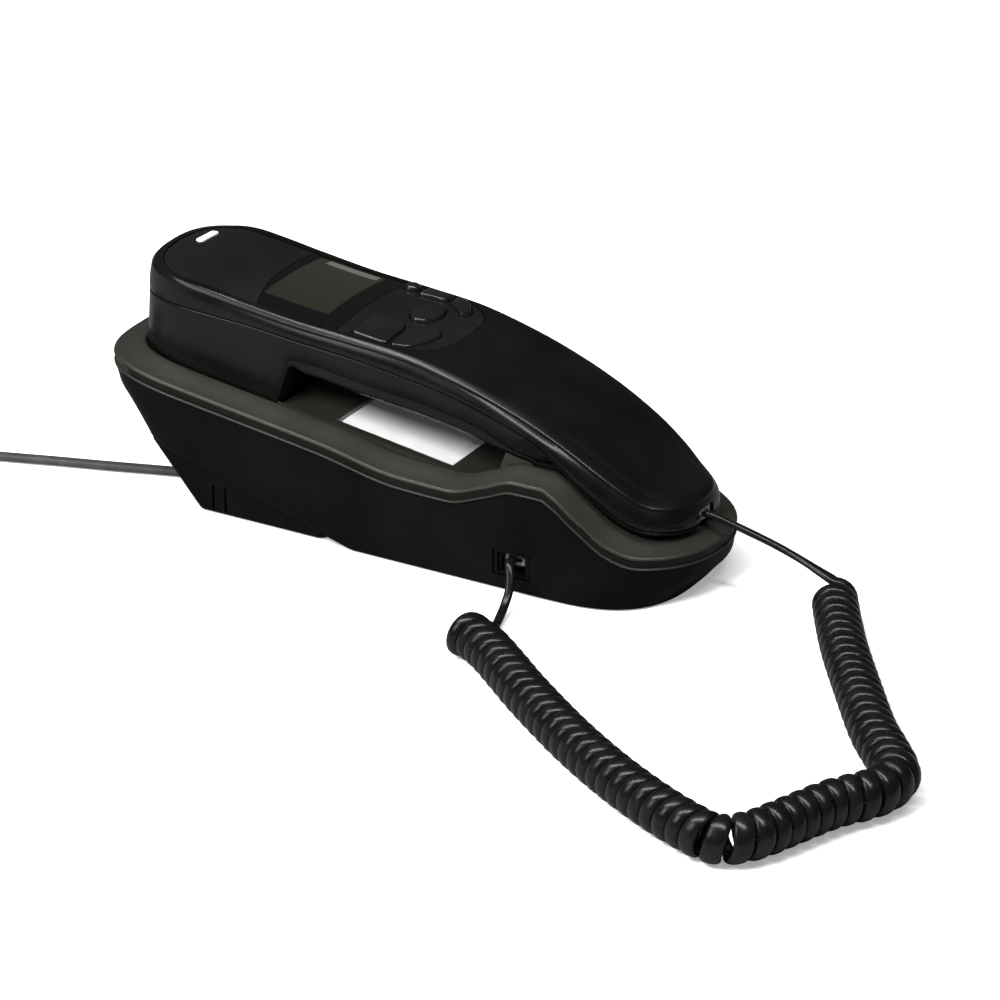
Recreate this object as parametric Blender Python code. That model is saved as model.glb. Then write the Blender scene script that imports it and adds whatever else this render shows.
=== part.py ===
"""Corded telephone: a handset with a caller display lies face down on a slim cradle base.

Metres, +Z up. +X runs along the phone from the earpiece end to the mouthpiece end, and +Y to the
far side. The origin is the bottom centre of the base, on the table.
"""

import math
from collections import namedtuple

import bmesh
import bpy
from mathutils import Matrix, Vector

# Driving sizes of the whole phone
BASE_LENGTH = 0.2146
BASE_WIDTH = 0.070
PHONE_HIGH = 0.0725
WALL = 0.0022
TOP_WALL = 0.0034
FIT_GAP = 0.0003
GROUND_GAP = 0.0003
OVERRUN = 0.004
FLAT_GAP = 0.00015

# Base: rim, flange, wells and slanted underside
RIM_BAND = 0.0042
RIM_FILLET = 0.0012
FLANGE_SIDE = 0.0107
FLANGE_EAR_END = 0.0090
FLANGE_MOUTH_END = 0.0080
FLANGE_RISE = 0.0020
WELL_LEAN = 0.0115
RECESS_FALL_share = 0.2169
HUMP_RISE = 0.020
UNDERSIDE_RISE_share = 0.41235
TILT_START_share = -0.063
STRAIGHT_share = 0.583
BODY_FILLET = 0.0008
BODY_EAR_END_share = -0.844
BODY_MOUTH_END_share = 0.925
BODY_POWERS_share = (4.0, 2.8)
END_POWERS_share = (3.2, 2.3)
BULGE_share = 0.14
BULGE_DROP = 0.0050
END_STEPS = 6

# Handset
REST_GAP = 0.0003
SIDE_GAP = 0.0004
OVERHANG = 0.0028
EAR_LEAN = 0.0030
NOSE_LEAN = 0.0028
EAR_RIDGE_IN = 0.0010
EAR_POWER_share = 3.6
NOSE_RIDGE_IN = 0.0045
CROWN = 0.0016
RIDGE_FILLET = 0.0022
SHOULDER_shares = ((0.28, 1.0), (0.60, 0.35), (1.0, 0.0))
CROWN_RING_share = 0.55
BLOCK_FILLET = 0.0022

# Side-view curves. Each row is a share of half the base length and a share of PHONE_HIGH.
RIM_shares = (
    (-1.00, 0.632), (-0.88, 0.618), (-0.76, 0.599), (-0.46, 0.540), (-0.17, 0.480), (0.10, 0.411),
    (0.26, 0.406), (0.39, 0.467), (0.48, 0.516), (0.57, 0.517), (0.68, 0.412), (0.78, 0.297),
    (0.86, 0.253), (1.00, 0.246))
RIDGE_shares = (
    (-0.92, 1.024), (-0.79, 1.030), (-0.64, 1.013), (-0.50, 0.993), (-0.29, 0.957), (-0.12, 0.932),
    (0.05, 0.906), (0.24, 0.849), (0.43, 0.768), (0.58, 0.674), (0.69, 0.582), (0.77, 0.504),
    (0.84, 0.448), (0.94, 0.400))
SEAM_shares = (
    (-0.92, 0.909), (-0.76, 0.917), (-0.48, 0.903), (-0.27, 0.876), (-0.10, 0.857), (0.07, 0.825),
    (0.22, 0.791), (0.38, 0.731), (0.50, 0.667), (0.59, 0.589), (0.67, 0.493), (0.78, 0.383),
    (0.85, 0.335), (0.94, 0.312))
UNDER_shares = (
    (-0.92, 0.457), (-0.43, 0.457), (-0.385, 0.507), (-0.355, 0.637), (-0.330, 0.729), (-0.28, 0.729),
    (-0.09, 0.697), (0.06, 0.677), (0.19, 0.652), (0.31, 0.617), (0.39, 0.569), (0.44, 0.544),
    (0.49, 0.534), (0.525, 0.437), (0.560, 0.272), (0.583, 0.212), (0.94, 0.212))
# Half width at the handset's ridge, as a share of its half width at the joint of the shells
RIDGE_HALF_shares = (
    (-0.92, 0.962), (-0.74, 0.960), (-0.62, 0.925), (-0.30, 0.893), (-0.10, 0.872), (0.07, 0.852),
    (0.25, 0.822), (0.42, 0.780), (0.55, 0.736), (0.65, 0.702), (0.80, 0.684), (0.94, 0.676))
RECESS_MID_share = 0.456
HUMP_SPAN_share = (0.36, 0.43)
SIDE_STATION_shares = (
    0, 0.126, 0.170, 0.195, 0.213, 0.277, 0.436, 0.596, 0.747, 0.803, 0.842, 0.882, 0.922, 0.958, 1)

# Wedge bracket under the earpiece end
BRACKET_INSET = 0.0022
BRACKET_WALL = 0.0024
BRACKET_THIN = 0.0012
BRACKET_RISE = 0.0006
BRACKET_FOOT_END_share = -0.646
BRACKET_TOP_END_share = -0.812
BRACKET_WINDOW_END_share = -0.36
BRACKET_ROUND = 0.007
BRACKET_STATION_shares = (0, 0.5, 1)
BRACKET_POWERS_share = (2.5, 2.5)
CORD_NOTCH_WIDE = 0.016
CORD_NOTCH_HIGH = 0.0040
CORD_NOTCH_Y = -0.0115
LATCH_SLOT_WIDE = 0.0009
LATCH_TAB_WIDE = 0.0046
LATCH_TAB_X_share = -0.535
LATCH_TAB_HIGH = 0.0085

# Rubber strips
FOOT_LONG = 0.040
FOOT_WIDE = 0.006
FOOT_SINK = 0.0010
FRONT_FOOT_X_share = 0.74
BACK_FOOT_X_share = -0.27

# Card recess
CARD_LONG = 0.0412
CARD_WIDE = 0.036
CARD_THICK = 0.0003
CARD_COVER_THICK = 0.0008
CARD_MARGIN = 0.0008
CARD_SINK = 0.0002

# Hook switch
HOOK_X_share = -0.555
HOOK_Y = 0.011
HOOK_STEM_R = 0.0030
HOOK_FLANGE_R = 0.0044
HOOK_FLANGE_THICK = 0.0012
HOOK_PIN_R = 0.0012
HOOK_TRAVEL = 0.0022
HOOK_BOX_LONG = 0.012
HOOK_BOX_WIDE = 0.010
SPRING_WIRE = 0.0004
SPRING_R = 0.0024
SPRING_TURNS = 4
SPRING_POINTS = 8

# Hanger tab
TAB_X_share = -0.290
TAB_WIDE = 0.010
TAB_THICK = 0.0020
TAB_DEEP = 0.010
TAB_LIP = 0.0015
TAB_LIP_THICK = 0.0014

# Inner pieces of the base
BOARD_LOW = 0.0135
BOARD_THICK = 0.0016
BOARD_EAR_END_share = -0.20
BOARD_MOUTH_END_share = 0.370
BOARD_WIDE = 0.050
RIB_THICK = 0.0024
RIB_INSET = 0.0040
RINGER_R = 0.011
RINGER_THICK = 0.0035
RINGER_DOME_share = 1.2
RINGER_X_share = 0.16
BALLAST_LONG = 0.028
BALLAST_WIDE = 0.034
BALLAST_THICK = 0.004
BALLAST_X_share = 0.70
KNOB_X_share = 0.19
KNOB_LONG = 0.006
KNOB_HIGH = 0.004
KNOB_DEEP = 0.0056
KNOB_TRAVEL = 0.006
KNOB_UP = 0.0185
POST_R = 0.0030
SCREW_HEAD_R = 0.0027
SCREW_HEAD_THICK = 0.0010
SCREW_R = 0.0011
SCREW_LONG = 0.0090
SCREW_PLAY = 0.0003
ROUND_SIDES = 12
FINE_SIDES = 20
BASE_SCREW_EAR_share = -0.470
BASE_SCREW_MOUTH_share = 0.440

# Sockets and plugs of the two cords
SOCKET_WALL = 0.0022
PLUG_PLAY = 0.0003
HANDSET_PLUG_WIDE = 0.0077
HANDSET_PLUG_HIGH = 0.0056
PLUG_LONG = 0.0105
LINE_PLUG_WIDE = 0.0097
LINE_PLUG_HIGH = 0.0060
LATCH_THICK = 0.0008
PLUG_LATCH_shares = (0.92, 0.90, 0.15, 0.78)
BASE_SOCKET_X_share = 0.480
BASE_SOCKET_UP = 0.0092
SOCKET_SINK = 0.0030
LINE_SOCKET_X_share = -0.560
LINE_SOCKET_Y = -0.0095
LINE_SOCKET_DEEP = 0.0085
LINE_PLUG_IN = 0.0064
HANDSET_SOCKET_UP = 0.0234

# Pieces in the handset
PANEL_MARGIN = 0.0048
PANEL_EAR_END_share = -0.853
PANEL_MOUTH_END_share = 0.152
PANEL_ROUND = 0.020
PANEL_SINK = 0.0016
PANEL_THICK = 0.0014
PANEL_POWER_share = 2.5
PANEL_STATION_shares = (0, 0.25, 0.5, 0.75, 1)
PLATE_ROW_shares = (-1.0, -0.55, 0.0, 0.55, 1.0)
LENS_SPAN_share = (-0.505, -0.178)
DISPLAY_LONG = 0.029
DISPLAY_MARGIN = 0.0035
DISPLAY_THICK = 0.0036
DISPLAY_X_share = -0.335
LAMP_LONG = 0.0105
LAMP_WIDE = 0.0028
LAMP_DEEP = 0.0034
LAMP_BACK = 0.0044
LAMP_Y_share = 0.41
HANDSET_BOARD_LONG = 0.096
HANDSET_BOARD_MARGIN = 0.0057
HANDSET_BOARD_THICK = 0.0012
HANDSET_BOARD_X_share = -0.125
HANDSET_BOARD_UP_share = 0.799
HANDSET_BOARD_TILT = math.radians(4.8)
EAR_RIB_X_share = -0.275
MOUTH_RIB_X_share = 0.285
RECEIVER_R = 0.0130
RECEIVER_THICK = 0.0065
RECEIVER_X_share = -0.60
MICROPHONE_R = 0.0048
MICROPHONE_THICK = 0.0036
MICROPHONE_X_share = 0.735
MICROPHONE_Y_share = -0.314
EAR_SCREW_X_share = -0.762
MOUTH_SCREW_X_share = 0.640
SOUND_HOLE_R = 0.0010
SOUND_HOLE_SIDES = 6
SOUND_RING_R = 0.0060
SOUND_HOLES = 6
SOUND_RIM_share = 0.6
SOUND_TOP_share = 0.7

# Number keys in the inner face, and the menu keys in the back
KEY_LONG = 0.0070
KEY_WIDE_share = 0.269
KEY_ROUND = 0.0018
KEY_PITCH_X = 0.0118
KEY_PITCH_Y_share = 0.377
KEY_FIRST_X_share = -0.222
KEY_PROUD = 0.0012
KEY_PLAY = 0.0003
KEY_LIP = 0.0008
KEY_LIP_THICK = 0.0010
FUNCTION_KEY_Y_share = 0.243
FUNCTION_KEY_WIDE_share = 0.314
FUNCTION_KEY_LONG = 0.0050
MENU_KEY_PROUD = 0.0009
MENU_KEY_PLAY = 0.0005
MENU_KEY_DEEP = 0.0044
KEY_NAMES = (
    ("number_key_1", "number_key_2", "number_key_3"),
    ("number_key_4", "number_key_5", "number_key_6"),
    ("number_key_7", "number_key_8", "number_key_9"),
    ("star_key", "number_key_0", "pound_key"))
# Corner points of each menu key from the middle of the key group. Each is a share of half the base
# length and a share of the panel's half width.
MENU_KEY_X_share = -0.004
MENU_KEY_shares = {
    "option_key": ((-0.1294, -0.904), (-0.0063, -0.945), (-0.0063, -0.452), (-0.0334, -0.308),
                   (-0.1294, -0.308)),
    "remove_key": ((0.0063, -0.945), (0.0564, -0.863), (0.0897, -0.637), (0.1044, -0.349),
                   (0.0793, -0.205), (0.0543, -0.349), (0.0063, -0.452)),
    "up_key": ((-0.0960, 0.637), (-0.0334, 0.678), (-0.0063, 0.678), (-0.0063, 0.925),
               (-0.0960, 0.904)),
    "down_key": ((0.0063, 0.678), (0.0459, 0.565), (0.0835, 0.370), (0.0960, 0.575),
                 (0.0564, 0.842), (0.0063, 0.925)),
}
DIAL_KEY_shares = (0.0, 0.134, 0.0438, 0.349)
ROUND_KEY_R = 0.0026
ROUND_KEY_X_share = -0.141
ROUND_KEY_Y_share = 0.830

# Curly cord. Its route is the middle line of the curls, chosen by hand from the photograph.
CORD_WIRE = 0.0045
CORD_TAIL_share = 0.60
CORD_TAPER_shares = (0.66, 0.76, 0.88)
CURL_OUTER = 0.0147
CURLS = 60.5
CURL_POINTS = 8
CURL_SAMPLES = 4000
CURL_BEND_SPAN = 80
CURL_LEAST_share = 0.3
CURL_UP = 0.0075
CURL_ROUTE = (
    (0.0616, -0.0794), (0.0738, -0.0868), (0.0854, -0.0956), (0.0980, -0.1058), (0.1214, -0.1230),
    (0.1423, -0.1364), (0.1608, -0.1464), (0.1755, -0.1528), (0.1870, -0.1556), (0.1944, -0.1490),
    (0.1994, -0.1385), (0.2058, -0.1243), (0.2126, -0.1108), (0.2134, -0.0990), (0.2066, -0.0890),
    (0.1960, -0.0752), (0.1810, -0.0545), (0.1664, -0.0337), (0.1561, -0.0175), (0.1475, -0.0030))
BASE_TAIL_ROUTE = (
    (0.0517, -0.0388, 0.0088), (0.0524, -0.0402, 0.0060), (0.0538, -0.0422, 0.0030),
    (0.0562, -0.0467, 0.0017), (0.0598, -0.0541, 0.0016), (0.0616, -0.0610, 0.0016),
    (0.0622, -0.0690, 0.0020))
HANDSET_TAIL_ROUTE = (
    (0.1418, -0.0022, 0.0150), (0.1344, -0.0002, 0.0164), (0.1245, 0.0010, 0.0187),
    (0.1140, 0.0008, 0.0214))
TAIL_POINT_STEP = 0.0042

# Line cord
LINE_CORD = 0.0026
LINE_START_DROP = 0.0030
LINE_ROUTE = (
    (-0.0650, -0.0099, 0.0042), (-0.0692, -0.0106, 0.0020), (-0.0765, -0.0124, 0.0014),
    (-0.0860, -0.0146, 0.0014), (-0.1081, -0.0220, 0.0014), (-0.1232, -0.0268, 0.0014),
    (-0.1425, -0.0333, 0.0014), (-0.1613, -0.0393, 0.0014), (-0.1763, -0.0442, 0.0014))
LINE_POINT_STEP = 0.0060
LOOPS = 10
LOOP_POINTS = 24
LOOP_MIDDLE = (-0.1953, -0.0178)
LOOP_OUTER_R = 0.0300
LOOP_INNER_R = 0.0110
LOOP_LAYER = 0.0031
LOOP_ENTRY_ANGLE = math.radians(-71.5)
TIE_THICK = 0.0008
TIE_WIDE = 0.0060
TIE_ROUND = 0.0024
TIE_ANGLE = math.radians(75)
LINE_END_ROUTE = (
    (-0.1981, -0.0518, 0.0046), (-0.2045, -0.0543, 0.0038), (-0.2113, -0.0553, 0.0033))
LINE_END_STRAIGHT = 0.0026

HALF_LENGTH = BASE_LENGTH / 2
STRAIGHT = STRAIGHT_share * HALF_LENGTH
UNDERSIDE_SLOPE = UNDERSIDE_RISE_share * PHONE_HIGH / HALF_LENGTH
UNDERSIDE_TILT = math.atan(UNDERSIDE_SLOPE)
BRACKET_LOW = GROUND_GAP + BRACKET_RISE
RECESS_SLOPE = RECESS_FALL_share * PHONE_HIGH / HALF_LENGTH
RECESS_TILT = math.atan(RECESS_SLOPE)
PANEL_HALF = BASE_WIDTH / 2 - FLANGE_SIDE - SIDE_GAP + OVERHANG - PANEL_MARGIN

Outline = namedtuple("Outline", "left near_left near_right right half left_power right_power")


def at(share):
    """Place along the phone for a share of half the base length."""
    return share * HALF_LENGTH


def smooth_value(rows, place):
    """Value at a place on a smooth curve through rows of place and value, without overshoot."""
    places = [row[0] for row in rows]
    values = [row[1] for row in rows]
    if place <= places[0]:
        return values[0]
    if place >= places[-1]:
        return values[-1]
    steps = [(values[i + 1] - values[i]) / (places[i + 1] - places[i]) for i in range(len(rows) - 1)]
    index = max(i for i in range(len(rows) - 1) if places[i] <= place)

    def slope(knot):
        if knot == 0 or knot == len(rows) - 1:
            return steps[min(knot, len(steps) - 1)]
        before, after = steps[knot - 1], steps[knot]
        if before * after <= 0:
            return 0.0
        return 2 * before * after / (before + after)

    width = places[index + 1] - places[index]
    t = (place - places[index]) / width
    rise = values[index + 1] - values[index]
    start, end = slope(index) * width, slope(index + 1) * width
    square, cube = 3 * rise - 2 * start - end, start + end - 2 * rise
    return values[index] + t * start + t * t * square + t ** 3 * cube


def side_curve(rows, x):
    """Height of a side-view curve at x."""
    return smooth_value(rows, x / HALF_LENGTH) * PHONE_HIGH


def rim(x, y=0):
    """Outer edge of the rim."""
    return side_curve(RIM_shares, x)


def flange_edge(x, y=0):
    """Inner edge of the rim's flange, where the handset goes in."""
    return rim(x) + FLANGE_RISE


def ridge(x, y=0):
    """Edge between the handset's back and its side."""
    return side_curve(RIDGE_shares, x)


def back_surface(x, y):
    """Crowned back of the handset."""
    across = min(1.0, abs(y) / PANEL_HALF)
    return ridge(x) + CROWN * (1 - across * across)


def seam(x, y=0):
    """Joint between the handset's two shells."""
    return side_curve(SEAM_shares, x)


def under(x, y=0):
    """Inner face of the handset, which faces down."""
    return side_curve(UNDER_shares, x)


def recess(x, y=0):
    """Plane of the card recess."""
    return RECESS_MID_share * PHONE_HIGH - RECESS_SLOPE * x


def cradle_floor(x, y=0):
    """Floor of the wells and of the card recess, with the hump between recess and mouth well."""
    low, high = (at(share) for share in HUMP_SPAN_share)
    ramp = min(1.0, max(0.0, (x - low) / (high - low)))
    return min(under(x) - REST_GAP, recess(x) + HUMP_RISE * ramp)


def underside(x, y=0):
    """Bottom of the base body: flat on the table, slanted up towards the earpiece end."""
    return GROUND_GAP + max(0.0, UNDERSIDE_SLOPE * (at(TILT_START_share) - x))


def bracket_top(x, y=0):
    """Slanted upper face of the bracket, a fit gap under the body."""
    return GROUND_GAP + UNDERSIDE_SLOPE * (at(TILT_START_share) - x) - FIT_GAP / math.cos(UNDERSIDE_TILT)


def inset(outline, end, side=None):
    """The outline drawn in by one distance at its ends and another at its sides."""
    side = end if side is None else side
    return outline._replace(left=outline.left + end, right=outline.right - end, half=outline.half - side)


BASE_OUTLINE = Outline(-HALF_LENGTH, -STRAIGHT, STRAIGHT, HALF_LENGTH, BASE_WIDTH / 2, *END_POWERS_share)
BODY_OUTLINE = Outline(at(BODY_EAR_END_share), -STRAIGHT, STRAIGHT, at(BODY_MOUTH_END_share),
                       BASE_WIDTH / 2, *BODY_POWERS_share)
WELL_OUTLINE = BASE_OUTLINE._replace(
    left=-HALF_LENGTH + FLANGE_EAR_END, right=HALF_LENGTH - FLANGE_MOUTH_END,
    half=BASE_WIDTH / 2 - FLANGE_SIDE)
WELL_FOOT = WELL_OUTLINE._replace(left=WELL_OUTLINE.left + WELL_LEAN)
BLOCK_OUTLINE = inset(WELL_OUTLINE, SIDE_GAP)
BLOCK_FOOT = inset(WELL_FOOT, SIDE_GAP)
HANDSET_OUTLINE = BLOCK_OUTLINE._replace(
    left=BLOCK_OUTLINE.left + EAR_LEAN, right=BLOCK_OUTLINE.right + NOSE_LEAN,
    half=BLOCK_OUTLINE.half + OVERHANG, left_power=EAR_POWER_share)
BULGE_OUTLINE = Outline(*(top + BULGE_share * (foot - top) for top, foot in zip(BASE_OUTLINE, BODY_OUTLINE)))


def ring(outline, height, stations=SIDE_STATION_shares):
    """Points of one level: from the earpiece end along the near side, and back along the far side."""
    half = []
    quarter = math.pi / 2
    for step in range(END_STEPS):
        angle = quarter * step / END_STEPS
        reach = math.cos(angle) ** (2 / outline.left_power)
        x = outline.near_left - (outline.near_left - outline.left) * reach
        half.append((x, outline.half * math.sin(angle) ** (2 / outline.left_power)))
    for share in stations:
        half.append((outline.near_left + share * (outline.near_right - outline.near_left), outline.half))
    for step in range(END_STEPS - 1, -1, -1):
        angle = quarter * step / END_STEPS
        reach = math.cos(angle) ** (2 / outline.right_power)
        x = outline.near_right + (outline.right - outline.near_right) * reach
        half.append((x, outline.half * math.sin(angle) ** (2 / outline.right_power)))
    plan = [(x, -y) for x, y in half] + [(x, y) for x, y in reversed(half[1:-1])]
    return [Vector((x, y, height(x, y))) for x, y in plan]


def shifted(height, offset):
    """A height function moved up by an offset."""
    return lambda x, y: height(x, y) + offset


MATERIALS = {}
FINISHES = {
    "handset_plastic": ((0.010, 0.010, 0.011), 0.32, 0.0),
    "base_plastic": ((0.014, 0.014, 0.015), 0.45, 0.0),
    "inner_plastic": ((0.05, 0.05, 0.055), 0.55, 0.0),
    "key_plastic": ((0.016, 0.016, 0.017), 0.40, 0.0),
    "gloss_panel": ((0.008, 0.008, 0.009), 0.12, 0.0),
    "display_glass": ((0.045, 0.043, 0.035), 0.10, 0.0),
    "lamp_white": ((0.85, 0.85, 0.85), 0.25, 0.0),
    "card_paper": ((0.86, 0.86, 0.85), 0.65, 0.0),
    "clear_plastic": ((0.60, 0.60, 0.60), 0.10, 0.0),
    "cord_rubber": ((0.012, 0.012, 0.012), 0.35, 0.0),
    "foot_rubber": ((0.02, 0.02, 0.02), 0.85, 0.0),
    "steel": ((0.50, 0.50, 0.50), 0.35, 1.0),
    "board": ((0.02, 0.12, 0.05), 0.50, 0.0),
    "brass": ((0.60, 0.45, 0.18), 0.35, 1.0),
}


def material(name):
    """The named finish as a Principled material, made once."""
    if name not in MATERIALS:
        colour, roughness, metallic = FINISHES[name]
        made = bpy.data.materials.new(name)
        made.use_nodes = True
        shader = made.node_tree.nodes["Principled BSDF"]
        shader.inputs["Base Color"].default_value = (*colour, 1.0)
        shader.inputs["Roughness"].default_value = roughness
        shader.inputs["Metallic"].default_value = metallic
        MATERIALS[name] = made
    return MATERIALS[name]


def to_object(name, mesh_maker, finish=None):
    """Turn a bmesh into an object in the scene; without a finish it is a hidden cutter."""
    bmesh.ops.recalc_face_normals(mesh_maker, faces=mesh_maker.faces)
    mesh = bpy.data.meshes.new(name)
    mesh_maker.to_mesh(mesh)
    mesh_maker.free()
    made = bpy.data.objects.new(name, mesh)
    bpy.context.scene.collection.objects.link(made)
    if finish is None:
        made.hide_render = True
        made.display_type = "WIRE"
    else:
        mesh.materials.append(material(finish))
        mesh.shade_smooth()
        mesh.set_sharp_from_angle(angle=math.radians(30))
    return made


def loft(name, rings, finish=None, closed=False, strips=True):
    """Solid through successive rings of points. Its ends are closed by strips across, or by faces."""
    made = bmesh.new()
    levels = [[made.verts.new(point) for point in points] for points in rings]
    count = len(rings[0])
    pairs = list(zip(levels, levels[1:]))
    if closed:
        pairs.append((levels[-1], levels[0]))
    for low, high in pairs:
        for i in range(count):
            j = (i + 1) % count
            made.faces.new((low[i], low[j], high[j], high[i]))
    if not closed:
        for level in (levels[0], levels[-1]):
            if not strips:
                made.faces.new(level)
                continue
            for i in range(count // 2):
                corners = (level[i], level[i + 1], level[(count - i - 1) % count], level[(count - i) % count])
                made.faces.new(tuple(dict.fromkeys(corners)))
    bmesh.ops.triangulate(made, faces=[face for face in made.faces if len(face.verts) > 4])
    return to_object(name, made, finish)


def block(name, low, high, finish=None, turn=None):
    """A box between two corners, turned about its middle where a turn is given."""
    made = bmesh.new()
    low, high = Vector(low), Vector(high)
    middle = (low + high) / 2
    bmesh.ops.create_cube(made, size=1.0)
    size = high - low
    bmesh.ops.scale(made, vec=size, verts=made.verts)
    if turn is not None:
        bmesh.ops.rotate(made, matrix=turn, verts=made.verts)
    bmesh.ops.translate(made, vec=middle, verts=made.verts)
    return to_object(name, made, finish)


def turned(name, profile, middle, finish=None, sides=ROUND_SIDES, turn=None):
    """A round piece from rows of radius and height, stood at a middle point."""
    rings = []
    for radius, height in profile:
        rings.append([Vector((radius * math.cos(2 * math.pi * i / sides),
                              radius * math.sin(2 * math.pi * i / sides), height)) for i in range(sides)])
    frame = Matrix.Translation(Vector(middle))
    if turn is not None:
        frame = frame @ turn.to_4x4()
    rings = [[frame @ point for point in points] for points in rings]
    return loft(name, rings, finish, strips=False)


def prism(name, outline, low, high, frame, finish=None):
    """An outline in a frame's first two directions, drawn out along its third."""
    rings = [[frame @ Vector((u, v, w)) for u, v in outline] for w in (low, high)]
    return loft(name, rings, finish, strips=False)


def rounded_box(long, wide, radius, steps=1):
    """Corner points of a rounded rectangle about the origin."""
    points = []
    for quarter, (sx, sy) in enumerate(((1, 1), (-1, 1), (-1, -1), (1, -1))):
        for step in range(steps + 1):
            angle = math.pi / 2 * (quarter + step / steps)
            points.append((sx * (long / 2 - radius) + radius * math.cos(angle),
                           sy * (wide / 2 - radius) + radius * math.sin(angle)))
    return points


def cut(target, tool):
    """Cut a tool's shape out of a target."""
    change = target.modifiers.new("cut " + tool.name, "BOOLEAN")
    change.operation = "DIFFERENCE"
    change.object = tool


def fuse(target, tool):
    """Add a tool's shape to a target."""
    change = target.modifiers.new("fuse " + tool.name, "BOOLEAN")
    change.operation = "UNION"
    change.object = tool


def centre_on(made, point):
    """Put an object's origin at a point, which lies on its joint's axis."""
    point = Vector(point)
    made.data.transform(Matrix.Translation(-point))
    made.location = point


def screw_site(name, carrier, holder, x, y, surface, ceiling):
    """A screw through the carrier's wall into a post of the holder, with its head sunk in the carrier."""
    sink = SCREW_HEAD_THICK + SCREW_PLAY
    post_low = surface + sink + WALL + FIT_GAP
    post = turned(name + "_post", ((POST_R, 0), (POST_R, ceiling + WALL / 4 - post_low)), (x, y, post_low))
    fuse(holder, post)
    pilot_top = surface + sink + SCREW_LONG + SCREW_PLAY
    bore = SCREW_R + SCREW_PLAY
    low = (x, y, surface - OVERRUN)
    pilot = turned(name + "_pilot", ((bore, 0), (bore, pilot_top - surface + OVERRUN)), low)
    cut(holder, pilot)
    cut(carrier, pilot)
    room = SCREW_HEAD_R + SCREW_PLAY
    head_room = turned(name + "_head_room", ((room, 0), (room, OVERRUN + sink)), low)
    cut(carrier, head_room)
    turned(name, ((SCREW_HEAD_R, 0), (SCREW_HEAD_R, SCREW_HEAD_THICK), (SCREW_R, SCREW_HEAD_THICK),
                  (SCREW_R, SCREW_HEAD_THICK + SCREW_LONG)), (x, y, surface + FLAT_GAP), "steel")


def make_base_body():
    """Lower housing: side walls that lean out to the rim, over a floor that slants up at one end."""
    lip = shifted(rim, -RIM_BAND - FIT_GAP)
    floor = shifted(underside, WALL)
    rings = [
        ring(inset(BODY_OUTLINE, BODY_FILLET), underside),
        ring(BODY_OUTLINE, shifted(underside, BODY_FILLET)),
        ring(BULGE_OUTLINE, shifted(lip, -BULGE_DROP)),
        ring(BASE_OUTLINE, lip),
        ring(inset(BASE_OUTLINE, WALL), lip),
        ring(inset(BODY_OUTLINE, WALL * 1.2, WALL), shifted(floor, BODY_FILLET)),
        ring(inset(BODY_OUTLINE, WALL * 2, WALL * 1.6), floor),
    ]
    return loft("base_body", rings, "base_plastic")


def make_cradle_top():
    """Upper housing: rim band, flange, and the wells that the handset lies in."""
    rings = [
        ring(inset(WELL_FOOT, -WALL), shifted(cradle_floor, -WALL)),
        ring(inset(WELL_OUTLINE, -WALL), shifted(flange_edge, -WALL)),
        ring(inset(BASE_OUTLINE, WALL), shifted(rim, -WALL)),
        ring(inset(BASE_OUTLINE, WALL), shifted(rim, -RIM_BAND)),
        ring(BASE_OUTLINE, shifted(rim, -RIM_BAND)),
        ring(BASE_OUTLINE, shifted(rim, -RIM_FILLET)),
        ring(inset(BASE_OUTLINE, RIM_FILLET * 0.3), shifted(rim, -RIM_FILLET * 0.3)),
        ring(inset(BASE_OUTLINE, RIM_FILLET), rim),
        ring(WELL_OUTLINE, flange_edge),
        ring(WELL_FOOT, cradle_floor),
    ]
    return loft("cradle_top", rings, "base_plastic")


def make_card(cradle):
    """Directory card in a shallow pocket of the recess, under a clear cover."""
    turn = Matrix.Rotation(RECESS_TILT, 3, "Y")
    normal = turn @ Vector((0, 0, 1))
    seat = Vector((0, 0, recess(0)))

    def plate(name, grow, low, high, finish=None):
        half = Vector((CARD_LONG / 2 + grow, CARD_WIDE / 2 + grow, 0))
        middle = seat + normal * (low + high) / 2
        thick = Vector((0, 0, (high - low) / 2))
        return block(name, middle - half - thick, middle + half + thick, finish, turn)

    cover_top = -CARD_SINK
    cover_low = cover_top - CARD_COVER_THICK
    card_top = cover_low - FLAT_GAP
    card_low = card_top - CARD_THICK
    cut(cradle, plate("card_pocket", CARD_MARGIN + FIT_GAP, card_low - FLAT_GAP, OVERRUN))
    plate("index_card", 0, card_low, card_top, "card_paper")
    plate("card_cover", CARD_MARGIN, cover_low, cover_top, "clear_plastic")


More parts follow.
